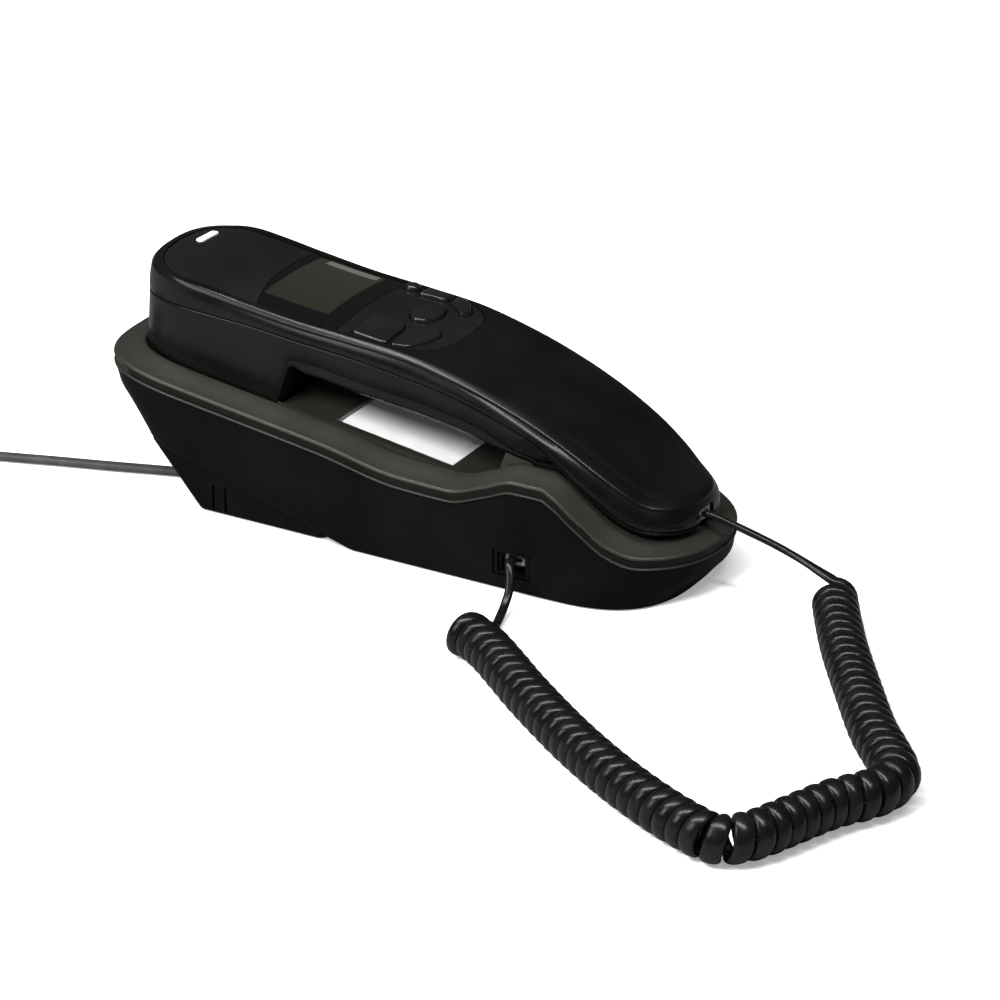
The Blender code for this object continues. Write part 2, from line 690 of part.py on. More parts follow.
def make_hook_switch(cradle, body):
    """Plunger that the handset presses down, with its spring and the switch under it."""
    x, y = at(HOOK_X_share), HOOK_Y
    ceiling = cradle_floor(x) - WALL
    flange_top = ceiling - FIT_GAP - HOOK_TRAVEL
    flange_low = flange_top - HOOK_FLANGE_THICK
    switch_low = underside(x - HOOK_BOX_LONG / 2) + WALL + FIT_GAP
    switch_top = flange_low - HOOK_TRAVEL - SPRING_WIRE * 4
    hole = turned("hook_hole", ((HOOK_STEM_R + FIT_GAP, 0), (HOOK_STEM_R + FIT_GAP, WALL + 2 * OVERRUN)),
                  (x, y, ceiling - OVERRUN))
    cut(cradle, hole)
    top = under(x) - FIT_GAP - flange_low
    bore = HOOK_TRAVEL / 2
    plunger = turned("hook_plunger", (
        (HOOK_PIN_R, -(flange_low - switch_top) + FIT_GAP), (HOOK_PIN_R, 0), (HOOK_FLANGE_R, 0),
        (HOOK_FLANGE_R, HOOK_FLANGE_THICK), (HOOK_STEM_R, HOOK_FLANGE_THICK), (HOOK_STEM_R, top - bore / 2),
        (HOOK_STEM_R * 0.8, top)), (x, y, flange_low), "inner_plastic")
    centre_on(plunger, (x, y, flange_low))
    block("hook_switch", (x - HOOK_BOX_LONG / 2, y - HOOK_BOX_WIDE / 2, switch_low),
          (x + HOOK_BOX_LONG / 2, y + HOOK_BOX_WIDE / 2, switch_top), "inner_plastic")
    rib("switch_rib", body, (x, y - RIB_THICK / 2, underside(x) + WALL / 2),
        (x + HOOK_BOX_LONG / 2, y + RIB_THICK / 2, switch_low - FIT_GAP))
    low = switch_top + SPRING_WIRE / 2 + FIT_GAP / 2
    high = flange_low - SPRING_WIRE / 2 - FIT_GAP / 2
    steps = SPRING_TURNS * SPRING_POINTS
    points = []
    for step in range(steps + 1):
        angle = 2 * math.pi * step / SPRING_POINTS
        points.append(Vector((x + SPRING_R * math.cos(angle), y + SPRING_R * math.sin(angle),
                              low + (high - low) * step / steps)))
    tube("hook_spring", points, SPRING_WIRE, "steel", resolution=1)
    report_gap("hook_spring", points, SPRING_WIRE, SPRING_POINTS // 2)


def make_hanger_tab(cradle):
    """Tab in the recess floor that catches the handset when the phone hangs on a wall."""
    x = at(TAB_X_share)
    top = recess(x + TAB_THICK) - FIT_GAP
    half = TAB_WIDE / 2
    slot = block("tab_slot", (x - TAB_THICK / 2 - FIT_GAP, -half - FIT_GAP, top - WALL - OVERRUN),
                 (x + TAB_THICK / 2 + FIT_GAP, half + FIT_GAP, top + OVERRUN))
    cut(cradle, slot)
    frame = Matrix.Translation((x, 0, top)) @ Matrix(((0, 0, 1), (1, 0, 0), (0, 1, 0))).to_4x4()
    wide, deep = half + TAB_LIP, TAB_DEEP + TAB_LIP_THICK
    outline = ((-half, 0), (-half, -TAB_DEEP), (-wide, -TAB_DEEP), (-wide, -deep),
               (wide, -deep), (wide, -TAB_DEEP), (half, -TAB_DEEP), (half, 0))
    tab = prism("hanger_tab", outline, -TAB_THICK / 2, TAB_THICK / 2, frame, "base_plastic")
    centre_on(tab, (x, 0, top))


def make_bracket():
    """Wedge under the slanted underside, open in the middle, with a cord notch and a latch tab."""
    half = BASE_WIDTH / 2 - BRACKET_INSET
    right = at(TILT_START_share) - (BRACKET_RISE + BRACKET_THIN + FIT_GAP) / UNDERSIDE_SLOPE
    foot_end, top_end = at(BRACKET_FOOT_END_share), at(BRACKET_TOP_END_share)
    foot = Outline(foot_end, foot_end + BRACKET_ROUND, right - BRACKET_ROUND, right, half,
                   *BRACKET_POWERS_share)
    slope_in = foot_end - top_end
    top = foot._replace(left=foot.left - slope_in, near_left=foot.near_left - slope_in)
    window_right = at(BRACKET_WINDOW_END_share)

    def floor(x, y):
        return BRACKET_LOW

    def window(outline):
        inner = inset(outline, BRACKET_WALL)
        return inner._replace(right=window_right, near_right=window_right - BRACKET_ROUND)

    rings = [ring(outline, height, BRACKET_STATION_shares) for outline, height in (
        (foot, floor), (top, bracket_top), (window(top), bracket_top), (window(foot), floor))]
    bracket = loft("tilt_bracket", rings, "base_plastic", closed=True)
    notch = block("cord_notch", (top_end - OVERRUN, CORD_NOTCH_Y - CORD_NOTCH_WIDE / 2, -OVERRUN),
                  (foot_end + BRACKET_WALL + OVERRUN, CORD_NOTCH_Y + CORD_NOTCH_WIDE / 2, CORD_NOTCH_HIGH))
    cut(bracket, notch)
    low = BRACKET_LOW + LATCH_SLOT_WIDE
    for side in (-1, 1):
        x = at(LATCH_TAB_X_share) + side * LATCH_TAB_WIDE / 2
        slot = block("latch_slot" + str(side), (x - LATCH_SLOT_WIDE / 2, -half - OVERRUN, low),
                     (x + LATCH_SLOT_WIDE / 2, -half + BRACKET_WALL / 2, low + LATCH_TAB_HIGH))
        cut(bracket, slot)
    centre_on(bracket, (foot_end, 0, BRACKET_LOW))
    return bracket


def make_foot(name, carrier, x, floor):
    """Rubber strip across the phone, sunk in the carrier's underside."""
    top = floor + FOOT_SINK
    half_wide, half_long = FOOT_WIDE / 2 + FIT_GAP, FOOT_LONG / 2 + FIT_GAP
    room = block(name + "_room", (x - half_wide, -half_long, -OVERRUN), (x + half_wide, half_long, top))
    cut(carrier, room)
    block(name, (x - FOOT_WIDE / 2, -FOOT_LONG / 2, 0), (x + FOOT_WIDE / 2, FOOT_LONG / 2, top - FLAT_GAP),
          "foot_rubber")


def plug(name, wide, high, place, forward, up, finish="clear_plastic"):
    """Modular plug: a box whose latch stands off one face. It points forward from its back face."""
    forward, up = Vector(forward).normalized(), Vector(up).normalized()
    across = forward.cross(up)
    frame = Matrix((forward, up, across)).transposed().to_4x4()
    frame.translation = Vector(place)
    body_top = high / 2 - LATCH_THICK * 2
    nose, root, tip, crook = (share * PLUG_LONG for share in PLUG_LATCH_shares)
    outline = ((0, -high / 2), (PLUG_LONG, -high / 2), (PLUG_LONG, body_top - LATCH_THICK), (nose, body_top),
               (root, high / 2 - LATCH_THICK), (tip, high / 2), (tip, high / 2 - LATCH_THICK),
               (crook, body_top), (0, body_top))
    prism(name, outline, -wide / 2, wide / 2, frame, finish)


def make_base_socket(body):
    """Socket for the handset cord in the near wall, with the cord's plug in it."""
    x, z = at(BASE_SOCKET_X_share), BASE_SOCKET_UP
    near = -BASE_WIDTH / 2
    wide, high = HANDSET_PLUG_WIDE / 2 + PLUG_PLAY, HANDSET_PLUG_HIGH / 2 + PLUG_PLAY
    outer_wide, outer_high = wide + SOCKET_WALL, high + SOCKET_WALL / 2
    room_wide, room_high = outer_wide + FIT_GAP, outer_high + FIT_GAP
    opening = block("base_socket_opening", (x - room_wide, near - OVERRUN, z - room_high),
                    (x + room_wide, near + WALL + OVERRUN, z + room_high))
    cut(body, opening)
    deep = PLUG_LONG + SOCKET_SINK + SOCKET_WALL + FIT_GAP
    socket = block("base_jack", (x - outer_wide, near + FIT_GAP, z - outer_high),
                   (x + outer_wide, near + deep, z + outer_high), "inner_plastic")
    cut(socket, block("base_jack_bore", (x - wide, near - OVERRUN, z - high),
                      (x + wide, near + deep - SOCKET_WALL, z + high)))
    back = near + SOCKET_SINK
    plug("base_plug", HANDSET_PLUG_WIDE, HANDSET_PLUG_HIGH, (x, back, z), (0, 1, 0), (0, 0, -1))
    return Vector((x, back, z + LATCH_THICK))


def make_line_socket(body):
    """Socket for the line cord, facing down from the slanted floor, with the inner plug in it."""
    turn = Matrix.Rotation(UNDERSIDE_TILT, 3, "Y")
    up = turn @ Vector((0, 0, 1))
    along = turn @ Vector((1, 0, 0))
    x = at(LINE_SOCKET_X_share)
    mouth = Vector((x, LINE_SOCKET_Y, underside(x)))
    long, wide = LINE_PLUG_HIGH / 2 + PLUG_PLAY, LINE_PLUG_WIDE / 2 + PLUG_PLAY
    outer_long, outer_wide = long + SOCKET_WALL / 2, wide + SOCKET_WALL / 2

    def slanted(name, half_long, half_wide, low, high, finish=None):
        middle = mouth + up * (low + high) / 2
        half = Vector((half_long, half_wide, (high - low) / 2))
        return block(name, middle - half, middle + half, finish, turn)

    room_long, room_wide = outer_long + FIT_GAP, outer_wide + FIT_GAP
    cut(body, slanted("line_socket_opening", room_long, room_wide, -OVERRUN, LINE_SOCKET_DEEP))
    top = LINE_SOCKET_DEEP + FIT_GAP
    socket = slanted("line_jack", outer_long, outer_wide, FIT_GAP, top, "inner_plastic")
    cut(socket, slanted("line_jack_bore", long, wide, -OVERRUN, LINE_PLUG_IN + FIT_GAP * 2))
    back = mouth - up * (PLUG_LONG - LINE_PLUG_IN)
    plug("line_plug_inner", LINE_PLUG_WIDE, LINE_PLUG_HIGH, back, up, along)
    return back, up


def rib(name, holder, low, high):
    """A small upright block that holds an inner piece, fused to a shell."""
    fuse(holder, block(name, low, high))


def make_base_inside(body):
    """Circuit board on four ribs, sounder, weight and ringer knob."""
    half = BOARD_WIDE / 2
    ear, mouth = at(BOARD_EAR_END_share), at(BOARD_MOUTH_END_share)
    for end, x in (("ear", ear + RIB_INSET), ("mouth", mouth - RIB_INSET)):
        for side, y in (("near", WALL - half + RIB_INSET), ("far", half - RIB_INSET)):
            low = (x - RIB_THICK / 2, y - RIB_THICK / 2, underside(x) + WALL / 2)
            high = (x + RIB_THICK / 2, y + RIB_THICK / 2, BOARD_LOW - FIT_GAP)
            rib("rib_" + end + "_" + side, body, low, high)
    block("base_board", (ear, -half + WALL, BOARD_LOW), (mouth, half, BOARD_LOW + BOARD_THICK), "board")
    floor = GROUND_GAP + WALL + FIT_GAP
    ring_x = at(RINGER_X_share)
    dome = (RINGER_R / 2, RINGER_THICK * RINGER_DOME_share)
    turned("ringer", ((RINGER_R, 0), (RINGER_R, RINGER_THICK), dome), (ring_x, 0, floor), "brass", FINE_SIDES)
    ballast_x = at(BALLAST_X_share)
    block("ballast_plate", (ballast_x - BALLAST_LONG / 2, -BALLAST_WIDE / 2, floor),
          (ballast_x + BALLAST_LONG / 2, BALLAST_WIDE / 2, floor + BALLAST_THICK), "steel")
    knob_x = at(KNOB_X_share)
    far = BASE_WIDTH / 2
    half_long, half_high = KNOB_LONG / 2 + FIT_GAP, KNOB_HIGH / 2 + FIT_GAP
    slot = block("knob_slot", (knob_x - half_long, far - WALL - OVERRUN, KNOB_UP - half_high),
                 (knob_x + half_long + KNOB_TRAVEL, far + OVERRUN, KNOB_UP + half_high))
    cut(body, slot)
    knob = block("ringer_knob", (knob_x - KNOB_LONG / 2, far - KNOB_DEEP, KNOB_UP - KNOB_HIGH / 2),
                 (knob_x + KNOB_LONG / 2, far - FIT_GAP, KNOB_UP + KNOB_HIGH / 2), "key_plastic")
    centre_on(knob, (knob_x, far, KNOB_UP))


def shoulder(step, height):
    """A level of the handset's shoulder, from step 0 at its side to 1 at the ridge."""
    outline = HANDSET_OUTLINE._replace(
        left=HANDSET_OUTLINE.left + step * EAR_RIDGE_IN, right=HANDSET_OUTLINE.right - step * NOSE_RIDGE_IN)
    points = ring(outline, height)
    for point in points:
        point.y *= 1 - step * (1 - smooth_value(RIDGE_HALF_shares, point.x / HALF_LENGTH))
    return points


def make_handset_back():
    """Outer shell of the handset, with a tight ridge round a crowned back."""
    inner = inset(HANDSET_OUTLINE, WALL)
    lip = shifted(seam, FIT_GAP / 2)
    crown_outline = inset(HANDSET_OUTLINE, HANDSET_OUTLINE.half - PANEL_HALF * CROWN_RING_share)

    def inner_corner(x, y):
        return max(seam(x) + FIT_GAP, ridge(x) - TOP_WALL - RIDGE_FILLET)

    rings = [
        ring(crown_outline, shifted(ridge, -TOP_WALL)),
        ring(inner, inner_corner),
        ring(inner, lip),
        ring(HANDSET_OUTLINE, lip),
        *(shoulder(step, shifted(ridge, -drop * RIDGE_FILLET)) for step, drop in SHOULDER_shares),
        ring(crown_outline, back_surface),
    ]
    return loft("handset_back", rings, "handset_plastic")


def block_shoulder(x, y=0):
    """Height where the handset's lower blocks end and its sides start to widen."""
    return max(under(x) + BLOCK_FILLET, flange_edge(x) + FLANGE_RISE / 2)


def make_handset_front():
    """Inner shell: earpiece block, handle with the number keys, and mouthpiece block."""
    lip = shifted(seam, -FIT_GAP / 2)
    inner_floor = shifted(under, WALL)
    rings = [
        ring(inset(BLOCK_FOOT, BLOCK_FILLET), under),
        ring(inset(BLOCK_FOOT, BLOCK_FILLET * 0.3), shifted(under, BLOCK_FILLET * 0.3)),
        ring(BLOCK_FOOT, shifted(under, BLOCK_FILLET)),
        ring(BLOCK_OUTLINE, shifted(block_shoulder, FIT_GAP)),
        ring(HANDSET_OUTLINE, lip),
        ring(inset(HANDSET_OUTLINE, WALL), lip),
        ring(inset(BLOCK_OUTLINE, WALL), shifted(block_shoulder, FIT_GAP)),
        ring(inset(BLOCK_FOOT, WALL), shifted(inner_floor, BLOCK_FILLET * 0.3)),
        ring(inset(BLOCK_FOOT, WALL * 1.5), inner_floor),
    ]
    return loft("handset_front", rings, "handset_plastic")


def panel_outline(left, right):
    """Part of the inset panel between two places along the handset."""
    ear, mouth = at(PANEL_EAR_END_share), at(PANEL_MOUTH_END_share)
    near_left = ear + PANEL_ROUND if left <= ear else left
    near_right = mouth - PANEL_ROUND if right >= mouth else right
    return Outline(left, near_left, near_right, right, PANEL_HALF, PANEL_POWER_share, PANEL_POWER_share)


def make_panel_plate(name, left, right, finish):
    """One of the three inset plates, which follow the crowned back."""
    ear, mouth = at(PANEL_EAR_END_share), at(PANEL_MOUTH_END_share)
    whole = panel_outline(ear, mouth)
    outline = ring(whole, ridge, PANEL_STATION_shares)
    edge = [(point.x, -point.y) for point in outline if point.y <= FIT_GAP / 2]
    plan = [(x, y) for x, y in edge if left < x < right]

    def half_at(x):
        for (x0, y0), (x1, y1) in zip(edge, edge[1:]):
            if x0 <= x <= x1:
                return y0 + (y1 - y0) * (x - x0) / (x1 - x0)
        return 0.0

    if plan[0][1] > FIT_GAP:
        plan.insert(0, (left, half_at(left)))
    if plan[-1][1] > FIT_GAP:
        plan.append((right, half_at(right)))
    return plate_from_plan(name, plan, finish)


def plate_from_plan(name, plan, finish):
    """Crowned plate from rows of place and half width, five points across each row."""
    made = bmesh.new()
    rows = []
    for x, half in plan:
        across = [share * half for share in PLATE_ROW_shares] if half > FIT_GAP else [0.0]
        seat = [(x, y, back_surface(x, y) - PANEL_SINK) for y in across]
        top = [made.verts.new((u, v, w + PANEL_THICK)) for u, v, w in seat]
        low = [made.verts.new((u, v, w + FIT_GAP / 2)) for u, v, w in seat]
        rows.append((top, low))

    def skin(first, second):
        if len(first) == 1:
            first = first * len(second)
        if len(second) == 1:
            second = second * len(first)
        for i in range(len(first) - 1):
            corners = tuple(dict.fromkeys((first[i], second[i], second[i + 1], first[i + 1])))
            made.faces.new(corners)

    for (top_a, low_a), (top_b, low_b) in zip(rows, rows[1:]):
        skin(top_a, top_b)
        skin(low_a, low_b)
        for side in (0, -1):
            made.faces.new((top_a[side], top_b[side], low_b[side], low_a[side]))
    for top, low in (rows[0], rows[-1]):
        for i in range(len(top) - 1):
            made.faces.new((top[i], top[i + 1], low[i + 1], low[i]))
    return to_object(name, made, finish)


def make_panel(back):
    """Inset plates in the back: earpiece end, display lens and key group. Returns the key plate."""
    ear, mouth = at(PANEL_EAR_END_share), at(PANEL_MOUTH_END_share)
    whole = panel_outline(ear, mouth)
    room = loft("panel_room", [
        ring(inset(whole, -FIT_GAP), shifted(back_surface, -PANEL_SINK), PANEL_STATION_shares),
        ring(inset(whole, -FIT_GAP), shifted(back_surface, OVERRUN), PANEL_STATION_shares)])
    cut(back, room)
    lens_left, lens_right = (at(share) for share in LENS_SPAN_share)
    ear_plate = make_panel_plate("ear_panel", ear, lens_left - FIT_GAP, "gloss_panel")
    make_panel_plate("display_lens", lens_left, lens_right, "display_glass")
    key_plate = make_panel_plate("key_panel", lens_right + FIT_GAP, mouth, "gloss_panel")
    display_x = at(DISPLAY_X_share)
    long, wide = DISPLAY_LONG / 2, PANEL_HALF - DISPLAY_MARGIN
    tilt = math.atan2(ridge(display_x - long) - ridge(display_x + long), 2 * long)
    turn = Matrix.Rotation(tilt, 3, "Y")
    top = ridge(display_x) - PANEL_SINK - FIT_GAP
    window = block("display_window", (display_x - long - FIT_GAP, -wide - FIT_GAP, top - TOP_WALL - OVERRUN),
                   (display_x + long + FIT_GAP, wide + FIT_GAP, top + OVERRUN), None, turn)
    cut(back, window)
    block("display_module", (display_x - long, -wide, top - DISPLAY_THICK), (display_x + long, wide, top),
          "display_glass", turn)
    return ear_plate, key_plate


def make_lamp(back, plate):
    """Message lamp: a small bar through the earpiece plate."""
    x, y = at(PANEL_EAR_END_share) + LAMP_BACK, LAMP_Y_share * PANEL_HALF
    surface = back_surface(x, y) - PANEL_SINK + PANEL_THICK
    outline, wide = (
        [(x + u, y + v) for u, v in rounded_box(LAMP_WIDE + 2 * grow, LAMP_LONG + 2 * grow, LAMP_WIDE / 3)]
        for grow in (0, FIT_GAP))
    upright = Matrix.Identity(4)
    hole = prism("lamp_hole", wide, surface - LAMP_DEEP - OVERRUN, surface + OVERRUN, upright)
    cut(back, hole)
    cut(plate, hole)
    prism("indicator_lens", outline, surface - LAMP_DEEP, surface + FIT_GAP, upright, "lamp_white")


def menu_key(name, plan, back, plate):
    """One menu key in the back: it stands a little proud and passes through plate and shell."""
    middle = (sum(x for x, _ in plan) / len(plan), sum(y for _, y in plan) / len(plan))

    def grown(amount):
        points = []
        for x, y in plan:
            away = Vector((x - middle[0], y - middle[1]))
            points.append((x + amount * away.x / away.length, y + amount * away.y / away.length))
        return points

    def level(points, offset):
        return [Vector((x, y, back_surface(x, y) - PANEL_SINK + offset)) for x, y in points]

    play = MENU_KEY_PLAY
    levels = [level(grown(play), -TOP_WALL - OVERRUN), level(grown(play), OVERRUN)]
    hole = loft(name + "_hole", levels, strips=False)
    cut(back, hole)
    cut(plate, hole)
    levels = [level(plan, PANEL_THICK - MENU_KEY_DEEP), level(plan, PANEL_THICK + MENU_KEY_PROUD / 2),
              level(grown(-MENU_KEY_PROUD), PANEL_THICK + MENU_KEY_PROUD)]
    key = loft(name, levels, "key_plastic", strips=False)
    centre_on(key, (middle[0], middle[1], back_surface(*middle)))


def make_menu_keys(back, plate):
    """Keys of the menu group in the back."""
    group_x = at(MENU_KEY_X_share)
    for name, shares in MENU_KEY_shares.items():
        menu_key(name, [(group_x + at(u), v * PANEL_HALF) for u, v in shares], back, plate)

    def oval(x, y, half_long, half_wide):
        angles = [2 * math.pi * i / ROUND_SIDES for i in range(ROUND_SIDES)]
        return [(x + half_long * math.cos(angle), y + half_wide * math.sin(angle)) for angle in angles]

    u, v, half_long, half_wide = DIAL_KEY_shares
    dial = oval(group_x + at(u), v * PANEL_HALF, at(half_long), half_wide * PANEL_HALF)
    menu_key("dial_key", dial, back, plate)
    round_key = oval(at(ROUND_KEY_X_share), ROUND_KEY_Y_share * PANEL_HALF, ROUND_KEY_R, ROUND_KEY_R)
    menu_key("round_key", round_key, back, plate)


def face_key(name, front, x, y, long, wide):
    """A key in the inner face: its cap hangs below the face, and a lip inside the wall holds it."""
    plan, hole_plan, lip_plan, cap_plan = (
        [(x + u, y + v) for u, v in rounded_box(long + 2 * grow, wide + 2 * grow, KEY_ROUND)]
        for grow in (0, KEY_PLAY, KEY_LIP, -KEY_LIP / 2))

    def level(points, offset):
        return [Vector((px, py, under(px) + offset)) for px, py in points]

    hole = loft(name + "_hole", [level(hole_plan, -OVERRUN), level(hole_plan, WALL + OVERRUN)], strips=False)
    cut(front, hole)
    lip = WALL + FIT_GAP
    levels = [level(cap_plan, -KEY_PROUD), level(plan, -KEY_PROUD / 2), level(plan, lip),
              level(lip_plan, lip), level(lip_plan, lip + KEY_LIP_THICK)]
    key = loft(name, levels, "key_plastic", strips=False)
    centre_on(key, (x, y, under(x)))


def make_number_keys(front):
    """Twelve number keys and two function keys in the inner face."""
    first = at(KEY_FIRST_X_share)
    half = BASE_WIDTH / 2
    for row, names in enumerate(KEY_NAMES):
        for column, name in enumerate(names):
            y = (1 - column) * KEY_PITCH_Y_share * half
            face_key(name, front, first + row * KEY_PITCH_X, y, KEY_LONG, KEY_WIDE_share * half)
    last = first + len(KEY_NAMES) * KEY_PITCH_X
    for name, side in (("flash_key", -1), ("redial_key", 1)):
        y = side * FUNCTION_KEY_Y_share * half
        face_key(name, front, last, y, FUNCTION_KEY_LONG, FUNCTION_KEY_WIDE_share * half)


def make_handset_inside(back, front):
    """Circuit board, receiver, microphone, cord socket and screws of the handset."""
    board_x = at(HANDSET_BOARD_X_share)
    half_wide = HANDSET_OUTLINE.half - HANDSET_BOARD_MARGIN
    half = Vector((HANDSET_BOARD_LONG / 2, half_wide, HANDSET_BOARD_THICK / 2))
    middle = Vector((board_x, 0, HANDSET_BOARD_UP_share * PHONE_HIGH))
    block("handset_board", middle - half, middle + half, "board", Matrix.Rotation(HANDSET_BOARD_TILT, 3, "Y"))
    for name, share in (("board_rib_ear", EAR_RIB_X_share), ("board_rib_mouth", MOUTH_RIB_X_share)):
        x = at(share)
        fall = (x + RIB_THICK / 2 - board_x) * math.tan(HANDSET_BOARD_TILT)
        top = middle.z - fall - HANDSET_BOARD_THICK / 2
        for side in (-1, 1):
            y = side * (half_wide - RIB_THICK / 2)
            rib(name + str(side), front, (x - RIB_THICK / 2, y - RIB_THICK / 2, under(x) + WALL / 2),
                (x + RIB_THICK / 2, y + RIB_THICK / 2, top - FIT_GAP))

    def sound_piece(name, x, y, radius, thick):
        floor = under(x) + WALL + FIT_GAP
        profile = ((radius, 0), (radius, thick * SOUND_RIM_share), (radius * SOUND_TOP_share, thick))
        turned(name, profile, (x, y, floor), "inner_plastic", FINE_SIDES)
        holes = bmesh.new()
        angles = [2 * math.pi * i / SOUND_HOLES for i in range(SOUND_HOLES)]
        spots = [(0.0, 0.0)] + [(math.cos(angle), math.sin(angle)) for angle in angles]
        spread = min(SOUND_RING_R, radius / 2)
        deep = floor - under(x) + 2 * OVERRUN
        for u, v in spots:
            place = Matrix.Translation((x + u * spread, y + v * spread, under(x)))
            bmesh.ops.create_cone(holes, cap_ends=True, segments=SOUND_HOLE_SIDES, radius1=SOUND_HOLE_R,
                                  radius2=SOUND_HOLE_R, depth=deep, matrix=place)
        cut(front, to_object(name + "_holes", holes))

    sound_piece("receiver", at(RECEIVER_X_share), 0.0, RECEIVER_R, RECEIVER_THICK)
    microphone_y = MICROPHONE_Y_share * BASE_WIDTH / 2
    sound_piece("microphone", at(MICROPHONE_X_share), microphone_y, MICROPHONE_R, MICROPHONE_THICK)
    for end, share in (("ear", EAR_SCREW_X_share), ("mouth", MOUTH_SCREW_X_share)):
        x = at(share)
        screw_site("handset_screw_" + end, front, back, x, 0.0, under(x), ridge(x) - TOP_WALL)


def make_handset_socket(back, front):
    """Socket for the cord in the mouth end, with the cord's plug in it."""
    end = HANDSET_OUTLINE.right
    z = HANDSET_SOCKET_UP
    wide, high = HANDSET_PLUG_WIDE / 2 + PLUG_PLAY, HANDSET_PLUG_HIGH / 2 + PLUG_PLAY
    opening = block("handset_socket_opening", (end - PLUG_LONG - WALL, -wide - FIT_GAP, z - high - FIT_GAP),
                    (end + OVERRUN, wide + FIT_GAP, z + high + FIT_GAP))
    cut(back, opening)
    cut(front, opening)
    outer_wide, outer_high = wide + SOCKET_WALL / 2, high + SOCKET_WALL / 4
    front_face = end - NOSE_LEAN - WALL * 3
    socket = block("handset_jack", (end - PLUG_LONG - WALL * 2, -outer_wide, z - outer_high),
                   (front_face, outer_wide, z + outer_high), "inner_plastic")
    cut(socket, block("handset_jack_bore", (end - PLUG_LONG - WALL, -wide, z - high), (end, wide, z + high)))
    plug("handset_plug", HANDSET_PLUG_WIDE, HANDSET_PLUG_HIGH, (end - WALL / 2, 0, z), (-1, 0, 0), (0, 0, -1))
    return Vector((end - WALL / 2, 0, z + LATCH_THICK))


def smooth_line(points, step):
    """Points about a step apart on a smooth curve through a route's points."""
    points = [Vector(point) for point in points]
    count = len(points)
    line = []
    for i in range(count - 1):
        p0, p1, p2, p3 = points[max(i - 1, 0)], points[i], points[i + 1], points[min(i + 2, count - 1)]
        parts = max(1, round((p2 - p1).length / step))
        for part in range(parts):
            t = part / parts
            line.append(0.5 * ((2 * p1) + (p2 - p0) * t + (2 * p0 - 5 * p1 + 4 * p2 - p3) * t * t
                               + (3 * p1 - p0 - 3 * p2 + p3) * t ** 3))
    line.append(points[-1])
    return line


def tube(name, points, diameter, finish, resolution=2, radii=None):
    """Round tube along points, as a curve with filled caps."""
    curve = bpy.data.curves.new(name, "CURVE")
    curve.dimensions = "3D"
    curve.bevel_depth = diameter / 2
    curve.bevel_resolution = resolution
    curve.use_fill_caps = True
    spline = curve.splines.new("POLY")
    spline.points.add(len(points) - 1)
    for index, point in enumerate(points):
        spline.points[index].co = (*point, 1.0)
        spline.points[index].radius = 1.0 if radii is None else radii[index]
    curve.materials.append(material(finish))
    made = bpy.data.objects.new(name, curve)
    bpy.context.scene.collection.objects.link(made)
    return made


def report_gap(name, points, diameter, skip):
    """Print the least gap between parts of a tube that are more than skip points apart."""
    count = len(points)
    least = min((points[i] - points[j]).length for i in range(count) for j in range(i + skip + 1, count))
    print(f"{name}: least gap to itself {least - diameter:.5f} m on {count} points")


def curl_line():
    """Middle line of the curly cord's wire through its curls, evenly spaced in turns."""
    route = smooth_line([(x, y, CURL_UP) for x, y in CURL_ROUTE], BASE_LENGTH / CURL_SAMPLES)
    radius = (CURL_OUTER - CORD_WIRE) / 2
    weights = [0.0]
    span = CURL_BEND_SPAN
    for i in range(1, len(route)):
        before = route[i] - route[max(i - span, 0)]
        after = route[min(i + span, len(route) - 1)] - route[i]
        length = (route[i] - route[i - 1]).length
        bend = before.angle(after, 0.0) / max((before.length + after.length) / 2, CORD_WIRE / 2)
        weights.append(weights[-1] + length * max(1 - (radius + FIT_GAP) * bend, CURL_LEAST_share))
    total = weights[-1]
    steps = round(CURLS * CURL_POINTS)
    points = []
    index = 0
    for step in range(steps + 1):
        want = total * step / steps
        while index < len(weights) - 2 and weights[index + 1] < want:
            index += 1
        t = (want - weights[index]) / (weights[index + 1] - weights[index])
        middle = route[index].lerp(route[index + 1], min(max(t, 0.0), 1.0))
        ahead = (route[min(index + span, len(route) - 1)] - route[max(index - span, 0)]).normalized()
        across = Vector((-ahead.y, ahead.x, 0.0))
        angle = -math.pi / 2 - 2 * math.pi * step / CURL_POINTS
        points.append(middle + radius * (across * math.cos(angle) + Vector((0, 0, 1)) * math.sin(angle)))
    return points


def make_handset_cord(base_exit, handset_exit):
    """Curly cord: a straight tail from each plug, and the curls between them, as one tube."""
    tail = CORD_WIRE * CORD_TAIL_share
    start = base_exit + Vector((0, -FIT_GAP, 0))
    start_tail = smooth_line([start, start + Vector((0, -tail, 0)), *BASE_TAIL_ROUTE], TAIL_POINT_STEP)
    end = handset_exit + Vector((FIT_GAP, 0, 0))
    end_tail = smooth_line([*HANDSET_TAIL_ROUTE, end + Vector((tail, 0, 0)), end], TAIL_POINT_STEP)
    curls = curl_line()
    points = start_tail + curls + end_tail
    radii = [CORD_TAIL_share] * len(start_tail) + [1.0] * len(curls) + [CORD_TAIL_share] * len(end_tail)
    for step, share in enumerate(CORD_TAPER_shares):
        radii[len(start_tail) + step] = share
        radii[len(start_tail) + len(curls) - 1 - step] = share
    tube("handset_cord", points, CORD_WIRE, "cord_rubber", resolution=1, radii=radii)
    report_gap("handset_cord", curls, CORD_WIRE, CURL_POINTS // 2)


